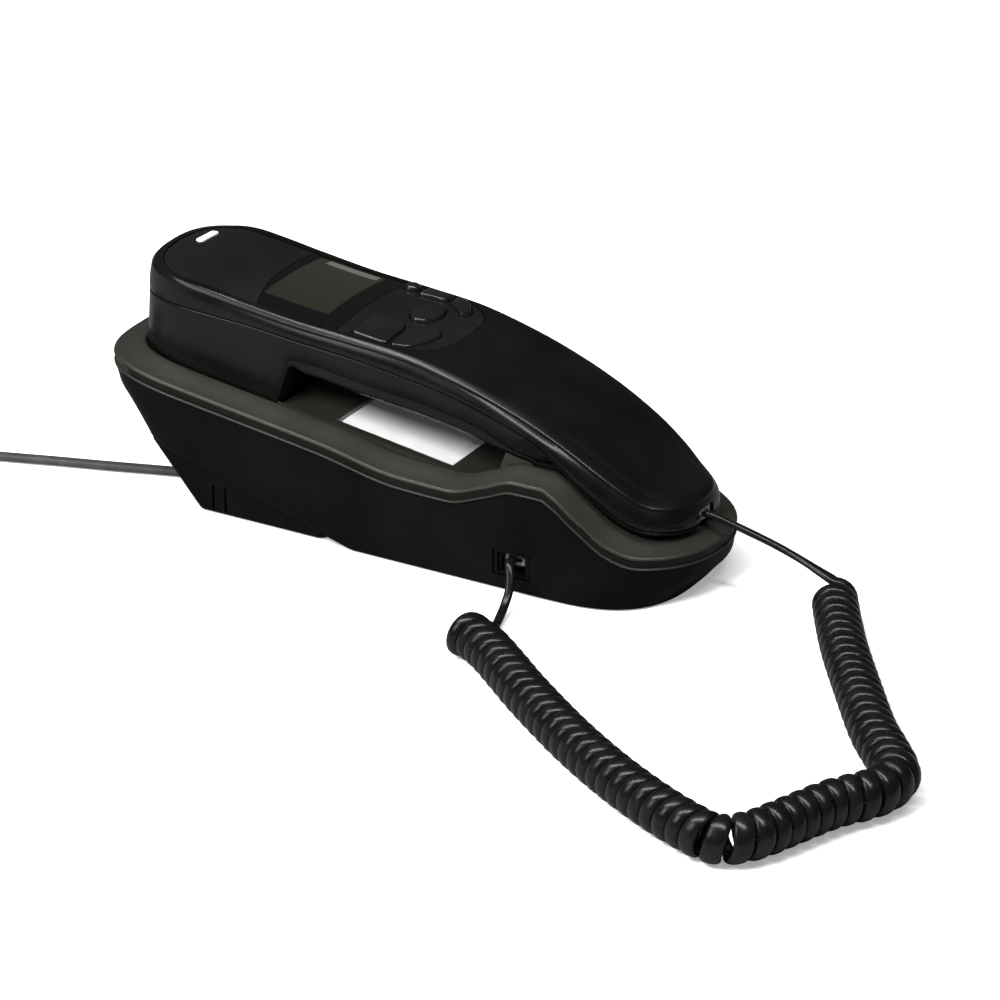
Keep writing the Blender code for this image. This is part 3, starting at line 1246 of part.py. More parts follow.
def coil_line():
    """Middle line of the stored line cord: in along one layer, and out again along the next."""
    middle = Vector((*LOOP_MIDDLE, LINE_CORD / 2 + TIE_THICK + 2 * FIT_GAP))
    steps = LOOPS * LOOP_POINTS
    points = []
    for step in range(steps + 1):
        turn = step / LOOP_POINTS
        inward = min(turn, LOOPS - turn) / (LOOPS / 2)
        radius = LOOP_OUTER_R + (LOOP_INNER_R - LOOP_OUTER_R) * inward
        climb = min(1.0, max(0.0, (turn - LOOPS / 2) * 2 + 0.5))
        angle = LOOP_ENTRY_ANGLE - 2 * math.pi * turn
        offset = Vector((radius * math.cos(angle), radius * math.sin(angle), climb * LOOP_LAYER))
        points.append(middle + offset)
    return points


def make_line_cord(back, up):
    """Flat line cord: a free stretch out past the earpiece end, a stored coil and the far plug."""
    start = back - up * FIT_GAP
    coil = coil_line()
    entry = coil[0]
    heading = (coil[1] - coil[0]).normalized()
    heading.z = 0
    end = entry - heading * FIT_GAP
    route = [start, start - up * LINE_START_DROP, *LINE_ROUTE, end - heading * LINE_CORD * 2, end]
    free = smooth_line(route, LINE_POINT_STEP)
    tube("line_cord", free, LINE_CORD, "cord_rubber")
    plug_heading = Vector((-1, 0, 0))
    last = Vector(LINE_END_ROUTE[-1]) + plug_heading * LINE_END_STRAIGHT
    tail = smooth_line([coil[-1], *LINE_END_ROUTE, last], LINE_POINT_STEP)
    points = coil + tail[1:]
    tube("line_cord_coil", points, LINE_CORD, "cord_rubber", resolution=1)
    report_gap("line_cord_coil", points, LINE_CORD, LOOP_POINTS // 2)
    plug("line_plug", LINE_PLUG_WIDE, LINE_PLUG_HIGH, last + plug_heading * FIT_GAP, plug_heading, (0, 0, 1))


def make_cord_tie():
    """Flat band round the stored loops."""
    clear = LINE_CORD / 2 + FIT_GAP
    long = LOOP_OUTER_R - LOOP_INNER_R + 2 * clear + LINE_CORD / 2
    high = LOOP_LAYER + 2 * clear
    middle_r = (LOOP_OUTER_R + LOOP_INNER_R) / 2
    outward = Vector((math.cos(TIE_ANGLE), math.sin(TIE_ANGLE), 0))
    sideways = Vector((-outward.y, outward.x, 0))
    centre = Vector((*LOOP_MIDDLE, TIE_THICK + FIT_GAP + high / 2)) + outward * middle_r
    rings = []
    for grow, side in ((0, -1), (0, 1), (TIE_THICK, 1), (TIE_THICK, -1)):
        plan = rounded_box(long + 2 * grow, high + 2 * grow, TIE_ROUND / 2 + grow)
        face = centre + sideways * (side * TIE_WIDE / 2)
        rings.append([face + outward * u + Vector((0, 0, v)) for u, v in plan])
    return loft("cord_tie", rings, "cord_rubber", closed=True)


def clear_scene():
    """Remove what the new file holds."""
    for made in list(bpy.data.objects):
        bpy.data.objects.remove(made, do_unlink=True)


def main():
    """Build the telephone."""
    clear_scene()
    body = make_base_body()
    cradle = make_cradle_top()
    make_card(cradle)
    make_hook_switch(cradle, body)
    make_hanger_tab(cradle)
    bracket = make_bracket()
    make_foot("foot_front", body, at(FRONT_FOOT_X_share), GROUND_GAP)
    make_foot("foot_back", bracket, at(BACK_FOOT_X_share), BRACKET_LOW)
    base_exit = make_base_socket(body)
    line_back, line_up = make_line_socket(body)
    make_base_inside(body)
    for end, share in (("ear", BASE_SCREW_EAR_share), ("mouth", BASE_SCREW_MOUTH_share)):
        x = at(share)
        surface = underside(x + SCREW_HEAD_R)
        screw_site("base_screw_" + end, body, cradle, x, 0.0, surface, cradle_floor(x) - WALL)
    back = make_handset_back()
    front = make_handset_front()
    ear_plate, key_plate = make_panel(back)
    make_lamp(back, ear_plate)
    make_menu_keys(back, key_plate)
    make_number_keys(front)
    make_handset_inside(back, front)
    handset_exit = make_handset_socket(back, front)
    make_handset_cord(base_exit, handset_exit)
    make_line_cord(line_back, line_up)
    make_cord_tie()


main()
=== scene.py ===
"""Corded telephone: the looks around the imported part.

Each sub-assembly is a class that builds its pieces in the part's own frame (metres, +Z up, +X from
the earpiece end to the mouthpiece end) and dresses them.
"""

import logging
import math
from dataclasses import dataclass, field, replace
from enum import Enum
from typing import Callable, Iterable, Sequence

import bpy
import numpy as np
from mathutils import Matrix, Vector


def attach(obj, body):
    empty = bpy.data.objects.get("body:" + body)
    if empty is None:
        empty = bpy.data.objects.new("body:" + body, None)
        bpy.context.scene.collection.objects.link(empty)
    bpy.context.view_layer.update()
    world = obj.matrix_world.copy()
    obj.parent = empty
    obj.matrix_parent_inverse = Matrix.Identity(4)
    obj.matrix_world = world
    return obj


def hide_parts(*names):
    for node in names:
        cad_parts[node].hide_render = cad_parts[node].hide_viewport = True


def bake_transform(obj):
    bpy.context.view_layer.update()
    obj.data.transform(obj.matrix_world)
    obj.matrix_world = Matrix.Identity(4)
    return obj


LOG = logging.getLogger("telephone")
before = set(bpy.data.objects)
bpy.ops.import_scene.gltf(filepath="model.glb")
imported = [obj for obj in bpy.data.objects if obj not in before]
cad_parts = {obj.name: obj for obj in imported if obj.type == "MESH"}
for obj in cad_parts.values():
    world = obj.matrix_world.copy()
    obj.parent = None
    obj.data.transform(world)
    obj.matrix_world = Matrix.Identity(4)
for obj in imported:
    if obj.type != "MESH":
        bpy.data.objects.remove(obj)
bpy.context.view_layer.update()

Height = Callable[[np.ndarray, np.ndarray], np.ndarray]
MILLI = 0.001


# ---------------------------------------------------------------- sizes, in metres, and side-view curves

HALF_LENGTH = 0.1073
HALF_WIDTH = 0.035
HIGH = 0.0725  # what a height of 1 in the side curves stands for
STRAIGHT = 0.583 * HALF_LENGTH  # where the base's straight sides end
FIT = 0.0003  # gap between neighbouring pieces
WALL = 0.0022
RIM_BAND = 0.0046  # height of the band round the rim
FLANGE_RISE = 0.0020  # rise of the soft flange from the rim to the wells
REST_GAP = 0.0003  # between the handset and its wells
CROWN = 0.0016  # rise of the handset's back across its width
PANEL_HALF = 0.0219  # half width of the inset panel
PANEL_SINK = 0.0016  # depth of the panel's recess
GROUND = 0.0003  # lowest level of the base
OVERRUN = 0.004  # how far a cutter reaches past the surface
KNOB_X = 0.19 * HALF_LENGTH
FRONT_FOOT_X = 0.74 * HALF_LENGTH
BACK_FOOT_X = -0.27 * HALF_LENGTH
HOOK_X = -0.555 * HALF_LENGTH
TAB_X = -0.290 * HALF_LENGTH
DISPLAY_X = -0.335 * HALF_LENGTH
LINE_SOCKET = (-0.560 * HALF_LENGTH, -0.0095)


class SideCurve:
    """A smooth curve without overshoot through shares of half the length and of the height."""

    def __init__(self, rows: Sequence[tuple[float, float]], scale: float = HIGH) -> None:
        """Work out the slope at each knot.

        Args:
            rows: Place and value of each knot, as shares.
            scale: What a value of 1 stands for.
        """
        self.places = np.array([row[0] for row in rows]) * HALF_LENGTH
        self.values = np.array([row[1] for row in rows]) * scale
        steps = np.diff(self.values) / np.diff(self.places)
        slopes = np.zeros(len(rows))
        slopes[0], slopes[-1] = steps[0], steps[-1]
        for knot in range(1, len(rows) - 1):
            before, after = steps[knot - 1], steps[knot]
            slopes[knot] = 2 * before * after / (before + after) if before * after > 0 else 0.0
        self.slopes = slopes

    def __call__(self, x: np.ndarray, y: np.ndarray | None = None) -> np.ndarray:
        """Value of the curve at each x.

        Args:
            x: Places along the phone, in metres.
            y: Places across it, which change nothing.

        Returns:
            The curve's values there.
        """
        x = np.clip(x, self.places[0], self.places[-1])
        index = np.clip(np.searchsorted(self.places, x, side="right") - 1, 0, len(self.places) - 2)
        width = self.places[index + 1] - self.places[index]
        t = (x - self.places[index]) / width
        rise = self.values[index + 1] - self.values[index]
        start, end = self.slopes[index] * width, self.slopes[index + 1] * width
        square, cube = 3 * rise - 2 * start - end, start + end - 2 * rise
        return self.values[index] + t * start + t * t * square + t ** 3 * cube


RIM = SideCurve((
    (-1.00, 0.632), (-0.88, 0.618), (-0.76, 0.599), (-0.46, 0.540), (-0.17, 0.480), (0.10, 0.411),
    (0.26, 0.406), (0.39, 0.467), (0.48, 0.516), (0.57, 0.517), (0.68, 0.412), (0.78, 0.297),
    (0.86, 0.253), (1.00, 0.246)))
RIDGE = SideCurve((
    (-0.92, 1.035), (-0.79, 1.041), (-0.64, 1.020), (-0.50, 0.993), (-0.29, 0.957), (-0.12, 0.941),
    (0.05, 0.921), (0.24, 0.863), (0.43, 0.774), (0.58, 0.677), (0.69, 0.586), (0.77, 0.511),
    (0.84, 0.448), (0.94, 0.400)))
SEAM = SideCurve((
    (-0.92, 0.909), (-0.76, 0.917), (-0.48, 0.903), (-0.27, 0.876), (-0.10, 0.857), (0.07, 0.825),
    (0.22, 0.791), (0.38, 0.731), (0.50, 0.667), (0.59, 0.589), (0.67, 0.493), (0.78, 0.383),
    (0.85, 0.335), (0.94, 0.312)))
UNDER = SideCurve((
    (-0.92, 0.457), (-0.43, 0.457), (-0.385, 0.507), (-0.355, 0.637), (-0.330, 0.729), (-0.28, 0.729),
    (-0.09, 0.697), (0.06, 0.677), (0.19, 0.652), (0.31, 0.617), (0.39, 0.569), (0.44, 0.544),
    (0.49, 0.534), (0.525, 0.437), (0.560, 0.272), (0.583, 0.212), (0.94, 0.212)))
RIDGE_HALF = SideCurve((
    (-0.92, 0.962), (-0.74, 0.960), (-0.62, 0.925), (-0.30, 0.893), (-0.10, 0.872), (0.07, 0.852),
    (0.25, 0.822), (0.42, 0.780), (0.55, 0.736), (0.65, 0.702), (0.80, 0.684), (0.94, 0.676)), 1.0)
RECESS_MID = 0.456 * HIGH
RECESS_SLOPE = 0.2169 * HIGH / HALF_LENGTH
UNDERSIDE_SLOPE = 0.41235 * HIGH / HALF_LENGTH
UNDERSIDE_TILT = math.atan(UNDERSIDE_SLOPE)
TILT_START = -0.063 * HALF_LENGTH
HUMP_SPAN = (0.36 * HALF_LENGTH, 0.43 * HALF_LENGTH)
HUMP_RISE = 0.020
KERB_SPAN = (-0.335 * HALF_LENGTH, 0.43 * HALF_LENGTH)


def flange_edge(x: np.ndarray, y: np.ndarray) -> np.ndarray:
    """Height of the flange's inner edge, where the handset goes in."""
    return RIM(x) + FLANGE_RISE


def back_surface(x: np.ndarray, y: np.ndarray) -> np.ndarray:
    """Height of the crowned back of the handset."""
    across = np.minimum(1.0, np.abs(y) / PANEL_HALF)
    return RIDGE(x) + CROWN * (1 - across * across)


def recess(x: np.ndarray, y: np.ndarray) -> np.ndarray:
    """Height of the card recess."""
    return RECESS_MID - RECESS_SLOPE * x


def cradle_floor(x: np.ndarray, y: np.ndarray) -> np.ndarray:
    """Height of the wells' floor, with the hump before the mouthpiece well."""
    ramp = np.clip((x - HUMP_SPAN[0]) / (HUMP_SPAN[1] - HUMP_SPAN[0]), 0, 1)
    return np.minimum(UNDER(x) - REST_GAP, recess(x, y) + HUMP_RISE * ramp)


def underside(x: np.ndarray, y: np.ndarray) -> np.ndarray:
    """Height of the base body's bottom."""
    return GROUND + np.maximum(0.0, UNDERSIDE_SLOPE * (TILT_START - x))


def eased(share: float) -> float:
    """A share with a soft start and a soft end."""
    return share * share * (3 - 2 * share)


def raised(height: Height, offset: float) -> Height:
    """A height function moved up by an offset."""
    return lambda x, y: height(x, y) + offset


def at(height: Height, x: float, y: float = 0.0) -> float:
    """A height function's value at one place."""
    return float(height(np.array([x]), np.array([y]))[0])


def line_mouth() -> Vector:
    """Mouth of the line cord's socket in the slanted floor."""
    return Vector((*LINE_SOCKET, at(underside, LINE_SOCKET[0])))


@dataclass(frozen=True)
class Plan:
    """Outline seen from above: straight sides between two rounded ends."""

    left: float
    near_left: float
    near_right: float
    right: float
    half: float
    left_power: float
    right_power: float
    end_steps: int = 20
    side_steps: int = 66

    def drawn_in(self, end: float, side: float | None = None) -> "Plan":
        """The outline drawn in at its ends and at its sides.

        Args:
            end: Distance at both ends.
            side: Distance at both sides, the same if left out.

        Returns:
            The smaller outline.
        """
        side = end if side is None else side
        return replace(self, left=self.left + end, right=self.right - end, half=self.half - side)

    def loop(self) -> np.ndarray:
        """Points round the outline from the earpiece end along the near side, closed at the end."""
        angle = np.linspace(0, math.pi / 2, self.end_steps + 1)[:-1]
        reach, side = np.cos(angle), np.sin(angle)
        left_x = self.near_left - (self.near_left - self.left) * reach ** (2 / self.left_power)
        left_y = self.half * side ** (2 / self.left_power)
        right_x = self.near_right + (self.right - self.near_right) * reach ** (2 / self.right_power)
        right_y = self.half * side ** (2 / self.right_power)
        side_x = np.linspace(self.near_left, self.near_right, self.side_steps + 1)
        x = np.concatenate([left_x, side_x, right_x[::-1]])
        y = np.concatenate([left_y, np.full(self.side_steps + 1, self.half), right_y[::-1]])
        near = np.stack([x, -y], 1)
        far = np.stack([x, y], 1)[::-1]
        return np.concatenate([near, far[1:]])

    def level(self, height: Height) -> np.ndarray:
        """Points of the outline at a height.

        Args:
            height: The height at each place.

        Returns:
            Rows of x, y and z.
        """
        plan = self.loop()
        return np.column_stack([plan, height(plan[:, 0], plan[:, 1])])


BASE_PLAN = Plan(-HALF_LENGTH, -STRAIGHT, STRAIGHT, HALF_LENGTH, HALF_WIDTH, 3.2, 2.3)
BODY_PLAN = Plan(-0.844 * HALF_LENGTH, -STRAIGHT, STRAIGHT, 0.925 * HALF_LENGTH, HALF_WIDTH, 4.0, 2.8)
WELL_PLAN = replace(BASE_PLAN, left=-HALF_LENGTH + 0.0090, right=HALF_LENGTH - 0.0080, half=HALF_WIDTH - 0.0107)
WELL_FOOT = replace(WELL_PLAN, left=WELL_PLAN.left + 0.0115)
BLOCK_PLAN = WELL_PLAN.drawn_in(0.0004)
BLOCK_FOOT = WELL_FOOT.drawn_in(0.0004)
HANDSET_PLAN = replace(BLOCK_PLAN, left=BLOCK_PLAN.left + 0.0015, right=BLOCK_PLAN.right + 0.0028,
                       half=BLOCK_PLAN.half + 0.0028, left_power=2.8, right_power=2.6)


# ---------------------------------------------------------------- finishes


class Signal:
    """A shader socket that can be used in Python expressions."""

    def __init__(self, graph: "Graph", socket: bpy.types.NodeSocket) -> None:
        """Wrap a socket.

        Args:
            graph: The material's graph.
            socket: The output socket.
        """
        self.graph = graph
        self.socket = socket

    def _with(self, operation: str, first: object, second: object) -> "Signal":
        """A Math node on two values."""
        return self.graph.node("ShaderNodeMath", {"operation": operation}, {0: first, 1: second})

    def __add__(self, other: object) -> "Signal":
        """Sum."""
        return self._with("ADD", self, other)

    def __rsub__(self, other: object) -> "Signal":
        """Difference from a number."""
        return self._with("SUBTRACT", other, self)

    def __mul__(self, other: object) -> "Signal":
        """Product."""
        return self._with("MULTIPLY", self, other)


class Graph:
    """Node graph of one material."""

    def __init__(self, name: str) -> None:
        """Make an empty material.

        Args:
            name: The material's name.
        """
        self.material = bpy.data.materials.new(name)
        self.material.use_nodes = True
        self.tree = self.material.node_tree
        self.tree.nodes.clear()

    def node(self, kind: str, settings: dict[str, object] | None = None,
             values: dict[int | str, object] | None = None, out: int | str = 0) -> Signal:
        """Add a node.

        Args:
            kind: The node's type.
            settings: Its settings, set first.
            values: Numbers, colours or signals for its sockets.
            out: The output that the signal stands for.

        Returns:
            The signal of that output.
        """
        made = self.tree.nodes.new(kind)
        for key, value in (settings or {}).items():
            setattr(made, key, value)
        for key, value in (values or {}).items():
            socket = made.inputs[key]
            if isinstance(value, Signal):
                self.tree.links.new(value.socket, socket)
            else:
                socket.default_value = value
        return Signal(self, made.outputs[out])

    def place(self, scale: tuple[float, float, float] = (1.0, 1.0, 1.0)) -> Signal:
        """Object coordinates, stretched by a scale."""
        spot = self.node("ShaderNodeTexCoord", out="Object")
        return self.node("ShaderNodeMapping", {}, {"Vector": spot, "Scale": scale})

    def noise(self, where: Signal, scale: float, detail: float = 3.0) -> Signal:
        """Noise from 0 to 1.

        Args:
            where: The coordinates.
            scale: Features per metre.
            detail: Octaves.

        Returns:
            The noise's value.
        """
        return self.node("ShaderNodeTexNoise", {}, {"Vector": where, "Scale": scale, "Detail": detail})

    def blend(self, mask: Signal, first: tuple | Signal, second: tuple | Signal) -> Signal:
        """A colour between two by a mask."""
        first, second = (end if isinstance(end, Signal) else (*end, 1.0) for end in (first, second))
        return self.node("ShaderNodeMix", {"data_type": "RGBA"}, {0: mask, 6: first, 7: second}, 2)

    def bump(self, height: Signal, strength: float, distance: float) -> Signal:
        """Normals bumped by a height."""
        values = {"Strength": strength, "Distance": distance, "Height": height}
        return self.node("ShaderNodeBump", {}, values, "Normal")

    def ramp(self, value: Signal, low: float, high: float) -> Signal:
        """A value spread from 0 at low to 1 at high."""
        return self.node("ShaderNodeMapRange", {"clamp": True}, {0: value, 1: low, 2: high, 3: 0.0, 4: 1.0})

    def finish(self, shader: Signal) -> bpy.types.Material:
        """Send a shader to the output.

        Args:
            shader: The surface.

        Returns:
            The finished material.
        """
        output = self.tree.nodes.new("ShaderNodeOutputMaterial")
        self.tree.links.new(shader.socket, output.inputs["Surface"])
        return self.material

    def principled(self, values: dict[int | str, object]) -> bpy.types.Material:
        """A finished Principled material from its socket values."""
        return self.finish(self.node("ShaderNodeBsdfPrincipled", {}, values))


def shade(colour: Sequence[float], factor: float, lift: float = 0.0) -> tuple[float, ...]:
    """A colour made lighter or darker."""
    return tuple(min(1.0, part * factor + lift) for part in colour)


@dataclass(frozen=True)
class Moulded:
    """Moulded plastic with a fine spark-eroded grain and faint rubbed patches."""

    name: str
    colour: tuple[float, float, float]
    roughness: float
    grain: float = 0.06
    grain_size: float = 0.35 * MILLI
    specular: float = 0.25
    rubbed: float = 0.06

    def make(self) -> bpy.types.Material:
        """Build the material."""
        graph = Graph(self.name)
        where = graph.place()
        patches = graph.ramp(graph.noise(where, 38.0, 4.0), 0.35, 0.75)
        grain = graph.noise(where, 1.0 / self.grain_size, 2.0)
        wave = graph.noise(where, 60.0, 1.0)
        bump = graph.bump(grain * 0.7 + wave * 0.3, self.grain, 0.0002)
        return graph.principled({
            "Base Color": graph.blend(patches, self.colour, shade(self.colour, 1.35, 0.0015)),
            "Roughness": patches * self.rubbed + (self.roughness - self.rubbed / 2),
            "Specular IOR Level": self.specular,
            "Normal": bump,
        })


@dataclass(frozen=True)
class CordSkin:
    """Glossy extruded cord jacket with faint lengthwise die lines."""

    name: str
    colour: tuple[float, float, float]
    roughness: float
    specular: float = 0.45

    def make(self) -> bpy.types.Material:
        """Build the material."""
        graph = Graph(self.name)
        uv = graph.node("ShaderNodeUVMap", {"uv_map": "along"})
        lines = graph.noise(graph.node("ShaderNodeMapping", {}, {"Vector": uv, "Scale": (24.0, 0.6, 1.0)}), 1.0, 2.0)
        dust = graph.ramp(graph.noise(graph.place(), 240.0, 3.0), 0.45, 0.8)
        bump = graph.bump(lines, 0.10, 0.0001)
        return graph.principled({
            "Base Color": graph.blend(dust, self.colour, shade(self.colour, 1.5, 0.002)),
            "Roughness": dust * 0.10 + self.roughness,
            "Specular IOR Level": self.specular,
            "Normal": bump,
        })


@dataclass(frozen=True)
class Clear:
    """Clear moulded plastic, a little hazy."""

    name: str
    colour: tuple[float, float, float]
    alpha: float
    roughness: float = 0.12

    def make(self) -> bpy.types.Material:
        """Build the material."""
        graph = Graph(self.name)
        haze = graph.noise(graph.place(), 300.0, 3.0)
        return graph.principled({
            "Base Color": graph.blend(haze, self.colour, shade(self.colour, 0.85)),
            "Roughness": haze * 0.08 + self.roughness,
            "Alpha": haze * 0.06 + (self.alpha - 0.03),
            "Specular IOR Level": 0.5,
        })


@dataclass(frozen=True)
class Paper:
    """Printed card with a soft fibre grain."""

    name: str
    colour: tuple[float, float, float]

    def make(self) -> bpy.types.Material:
        """Build the material."""
        graph = Graph(self.name)
        fibre = graph.noise(graph.place((1.0, 3.0, 1.0)), 900.0, 4.0)
        bump = graph.bump(fibre, 0.15, 0.0001)
        return graph.principled({
            "Base Color": graph.blend(fibre, self.colour, shade(self.colour, 0.94)),
            "Roughness": fibre * 0.15 + 0.6,
            "Specular IOR Level": 0.2,
            "Normal": bump,
        })


@dataclass(frozen=True)
class Metal:
    """Plated metal with fine brushed lines."""

    name: str
    colour: tuple[float, float, float]
    roughness: float

    def make(self) -> bpy.types.Material:
        """Build the material."""
        graph = Graph(self.name)
        lines = graph.noise(graph.place((1.0, 14.0, 1.0)), 700.0, 3.0)
        return graph.principled({
            "Base Color": graph.blend(lines, self.colour, shade(self.colour, 0.8)),
            "Roughness": lines * 0.15 + self.roughness,
            "Metallic": 1.0,
        })


@dataclass(frozen=True)
class Laminate:
    """Circuit board: lacquer over copper tracks."""

    name: str
    colour: tuple[float, float, float]

    def make(self) -> bpy.types.Material:
        """Build the material."""
        graph = Graph(self.name)
        cells = graph.node("ShaderNodeTexVoronoi", {"feature": "DISTANCE_TO_EDGE"}, {
            "Vector": graph.place(), "Scale": 260.0}, "Distance")
        tracks = graph.ramp(cells, 0.05, 0.09)
        return graph.principled({
            "Base Color": graph.blend(tracks, shade(self.colour, 1.9, 0.01), self.colour),
            "Roughness": tracks * 0.1 + 0.3,
        })


class Finish(Enum):
    """The finishes of the telephone, with the record's slot that each belongs to."""

    HANDSET = ("handset_plastic", Moulded("handset_gloss", (0.0022, 0.0022, 0.0018), 0.28, 0.03, 0.5 * MILLI, 0.34))
    BASE = ("base_plastic", Moulded("base_satin", (0.0012, 0.0016, 0.0018), 0.42, 0.06, 0.4 * MILLI, 0.08))
    RIM = ("base_plastic", Moulded("rim_satin", (0.0175, 0.0170, 0.0144), 0.36, 0.06, 0.4 * MILLI, 0.34))
    # Darker copy of the rim's finish for the band's sideways faces: painted shade where the overhead light falls
    # less, on the same plastic as the rim.
    SHADED_BAND = ("base_plastic", Moulded("rim_band_painted_shade", (0.0040, 0.0038, 0.0031), 0.34, 0.06, 0.4 * MILLI, 0.14))
    INNER = ("inner_plastic", Moulded("inner_moulding", (0.018, 0.018, 0.019), 0.55, 0.10))
    KEY = ("key_plastic", Moulded("key_caps", (0.0062, 0.0062, 0.0062), 0.16, 0.02, 0.5 * MILLI, 0.50))
    PANEL = ("gloss_panel", Moulded("panel_gloss", (0.0052, 0.0051, 0.0048), 0.18, 0.01, 0.8 * MILLI, 0.35, 0.03))
    LENS = ("display_glass", Moulded("display_lens", (0.0040, 0.0040, 0.0042), 0.07, 0.01, 0.8 * MILLI, 0.40, 0.02))
    SCREEN = ("display_glass", Moulded("display_screen", (0.030, 0.028, 0.020), 0.16, 0.01, 0.8 * MILLI, 0.30, 0.03))
    LAMP = ("lamp_white", Moulded("lamp_bar", (0.83, 0.83, 0.82), 0.3, 0.02, 0.8 * MILLI, 0.4))
    CARD = ("card_paper", Paper("card_paper", (0.86, 0.86, 0.85)))
    COVER = ("clear_plastic", Clear("card_cover_clear", (0.80, 0.80, 0.80), 0.10, 0.08))
    PLUG = ("clear_plastic", Clear("plug_clear", (0.20, 0.20, 0.21), 0.58, 0.14))
    CORD = ("cord_rubber", CordSkin("cord_gloss", (0.0034, 0.0034, 0.0030), 0.26, 0.38))
    FLAT_CORD = ("cord_rubber", CordSkin("cord_flat_grey", (0.036, 0.036, 0.035), 0.42, 0.30))
    FOOT = ("foot_rubber", Moulded("foot_rubber", (0.012, 0.012, 0.012), 0.85, 0.2, 0.5 * MILLI, 0.2))
    STEEL = ("steel", Metal("screw_steel", (0.45, 0.45, 0.46), 0.35))
    BRASS = ("brass", Metal("contact_brass", (0.62, 0.46, 0.18), 0.28))
    BOARD = ("board", Laminate("board_green", (0.012, 0.075, 0.03)))

    @property
    def slot(self) -> str:
        """The record's material slot."""
        return self.value[0]

    def material(self) -> bpy.types.Material:
        """The finish's material, made once."""
        recipe = self.value[1]
        return bpy.data.materials.get(recipe.name) or recipe.make()


# ---------------------------------------------------------------- bench: mesh making by hand

WELD = 0.000004


def pick_only(*objects: bpy.types.Object) -> None:
    """Select these objects alone, the first of them active.

    Args:
        objects: What to select.
    """
    bpy.ops.object.select_all(action="DESELECT")
    for one in objects:
        one.select_set(True)
    bpy.context.view_layer.objects.active = objects[0]


def named(name: str) -> bpy.types.Object:
    """Name the object that an operator has just made, and its mesh.

    Args:
        name: The name.

    Returns:
        The object.
    """
    made = bpy.context.object
    made.name = name
    made.data.name = name
    return made


def weld(made: bpy.types.Object) -> None:
    """Merge the points that meet and turn the faces outwards.

    Args:
        made: The mesh object.
    """
    pick_only(made)
    bpy.ops.object.mode_set(mode="EDIT")
    bpy.ops.mesh.select_all(action="SELECT")
    bpy.ops.mesh.remove_doubles(threshold=WELD)
    bpy.ops.mesh.normals_make_consistent(inside=False)
    bpy.ops.object.mode_set(mode="OBJECT")


def skin(name: str, rows: np.ndarray) -> bpy.types.Object:
    """Grid whose points are placed row by row; rows and columns that meet are merged.

    Args:
        name: The object's name.
        rows: Points by row and column.

    Returns:
        The new mesh object.
    """
    rows = np.asarray(rows, dtype=float)
    bpy.ops.object.select_all(action="DESELECT")
    bpy.ops.mesh.primitive_grid_add(x_subdivisions=rows.shape[1] - 1, y_subdivisions=rows.shape[0] - 1, size=1.0)
    made = named(name)
    made.data.vertices.foreach_set("co", rows.reshape(-1))
    made.data.update()
    weld(made)
    return made


def box(name: str, low: Sequence[float], high: Sequence[float], round_by: float = 0.0,
        steps: int = 3) -> bpy.types.Object:
    """Cube between two corners with its edges bevelled.

    Args:
        name: The object's name.
        low: Lowest corner.
        high: Highest corner.
        round_by: Bevel of every edge.
        steps: Segments of the bevel.

    Returns:
        The new mesh object.
    """
    low, high = Vector(low), Vector(high)
    bpy.ops.object.select_all(action="DESELECT")
    bpy.ops.mesh.primitive_cube_add(size=1.0, location=(low + high) / 2, scale=high - low)
    made = named(name)
    bpy.ops.object.transform_apply(location=True, rotation=True, scale=True)
    if round_by > 0:
        bpy.ops.object.mode_set(mode="EDIT")
        bpy.ops.mesh.select_all(action="SELECT")
        bpy.ops.mesh.bevel(offset=round_by, segments=steps, affect="EDGES")
        bpy.ops.object.mode_set(mode="OBJECT")
    return made


def prism(name: str, plan: Iterable[Sequence[float]], low: Height, high: Height,
          round_by: float = 0.0) -> bpy.types.Object:
    """Upright piece on a closed plan: a circle reshaped to the plan, extruded, its top edge bevelled.

    Args:
        name: The object's name.
        plan: Points of the plan in order.
        low: Height of the bottom.
        high: Height of the top.
        round_by: Bevel of the top edge.

    Returns:
        The new mesh object.
    """
    plan = np.array([tuple(point) for point in plan], dtype=float)
    count = len(plan)
    bpy.ops.object.select_all(action="DESELECT")
    bpy.ops.mesh.primitive_circle_add(vertices=count, radius=1.0, fill_type="NGON")
    made = named(name)
    base = np.column_stack([plan, low(plan[:, 0], plan[:, 1])])
    made.data.vertices.foreach_set("co", base.reshape(-1))
    bpy.ops.object.mode_set(mode="EDIT")
    bpy.ops.mesh.select_all(action="SELECT")
    bpy.ops.mesh.extrude_region_move(TRANSFORM_OT_translate={"value": (0.0, 0.0, 1.0)})
    bpy.ops.object.mode_set(mode="OBJECT")
    for vertex in made.data.vertices:
        if vertex.co.z > 0.5:
            vertex.co.z = at(high, vertex.co.x, vertex.co.y)
            vertex.select = True
        else:
            vertex.select = False
    made.data.update()
    if round_by > 0:
        top = {vertex.index for vertex in made.data.vertices if vertex.select}
        for edge in made.data.edges:
            edge.select = all(index in top for index in edge.vertices)
        for face in made.data.polygons:
            face.select = all(index in top for index in face.vertices)
        bpy.ops.object.mode_set(mode="EDIT")
        bpy.ops.mesh.select_mode(type="EDGE")
        bpy.ops.mesh.bevel(offset=round_by, segments=3, affect="EDGES")
        bpy.ops.mesh.select_mode(type="VERT")
        bpy.ops.object.mode_set(mode="OBJECT")
    weld(made)
    return made


def turned(name: str, profile: Sequence[tuple[float, float]], middle: Sequence[float],
           sides: int = 32) -> bpy.types.Object:
    """Upright round piece from rows of radius and height.

    Args:
        name: The object's name.
        profile: Radius and height of each level.
        middle: Where height 0 lies.
        sides: Points round it.

    Returns:
        The new mesh object.
    """
    spin = np.linspace(0, 2 * math.pi, sides + 1)
    rows = [np.stack([r * np.cos(spin), r * np.sin(spin), np.full(sides + 1, h)], 1) for r, h in profile]
    return skin(name, np.array(rows) + np.array(middle))


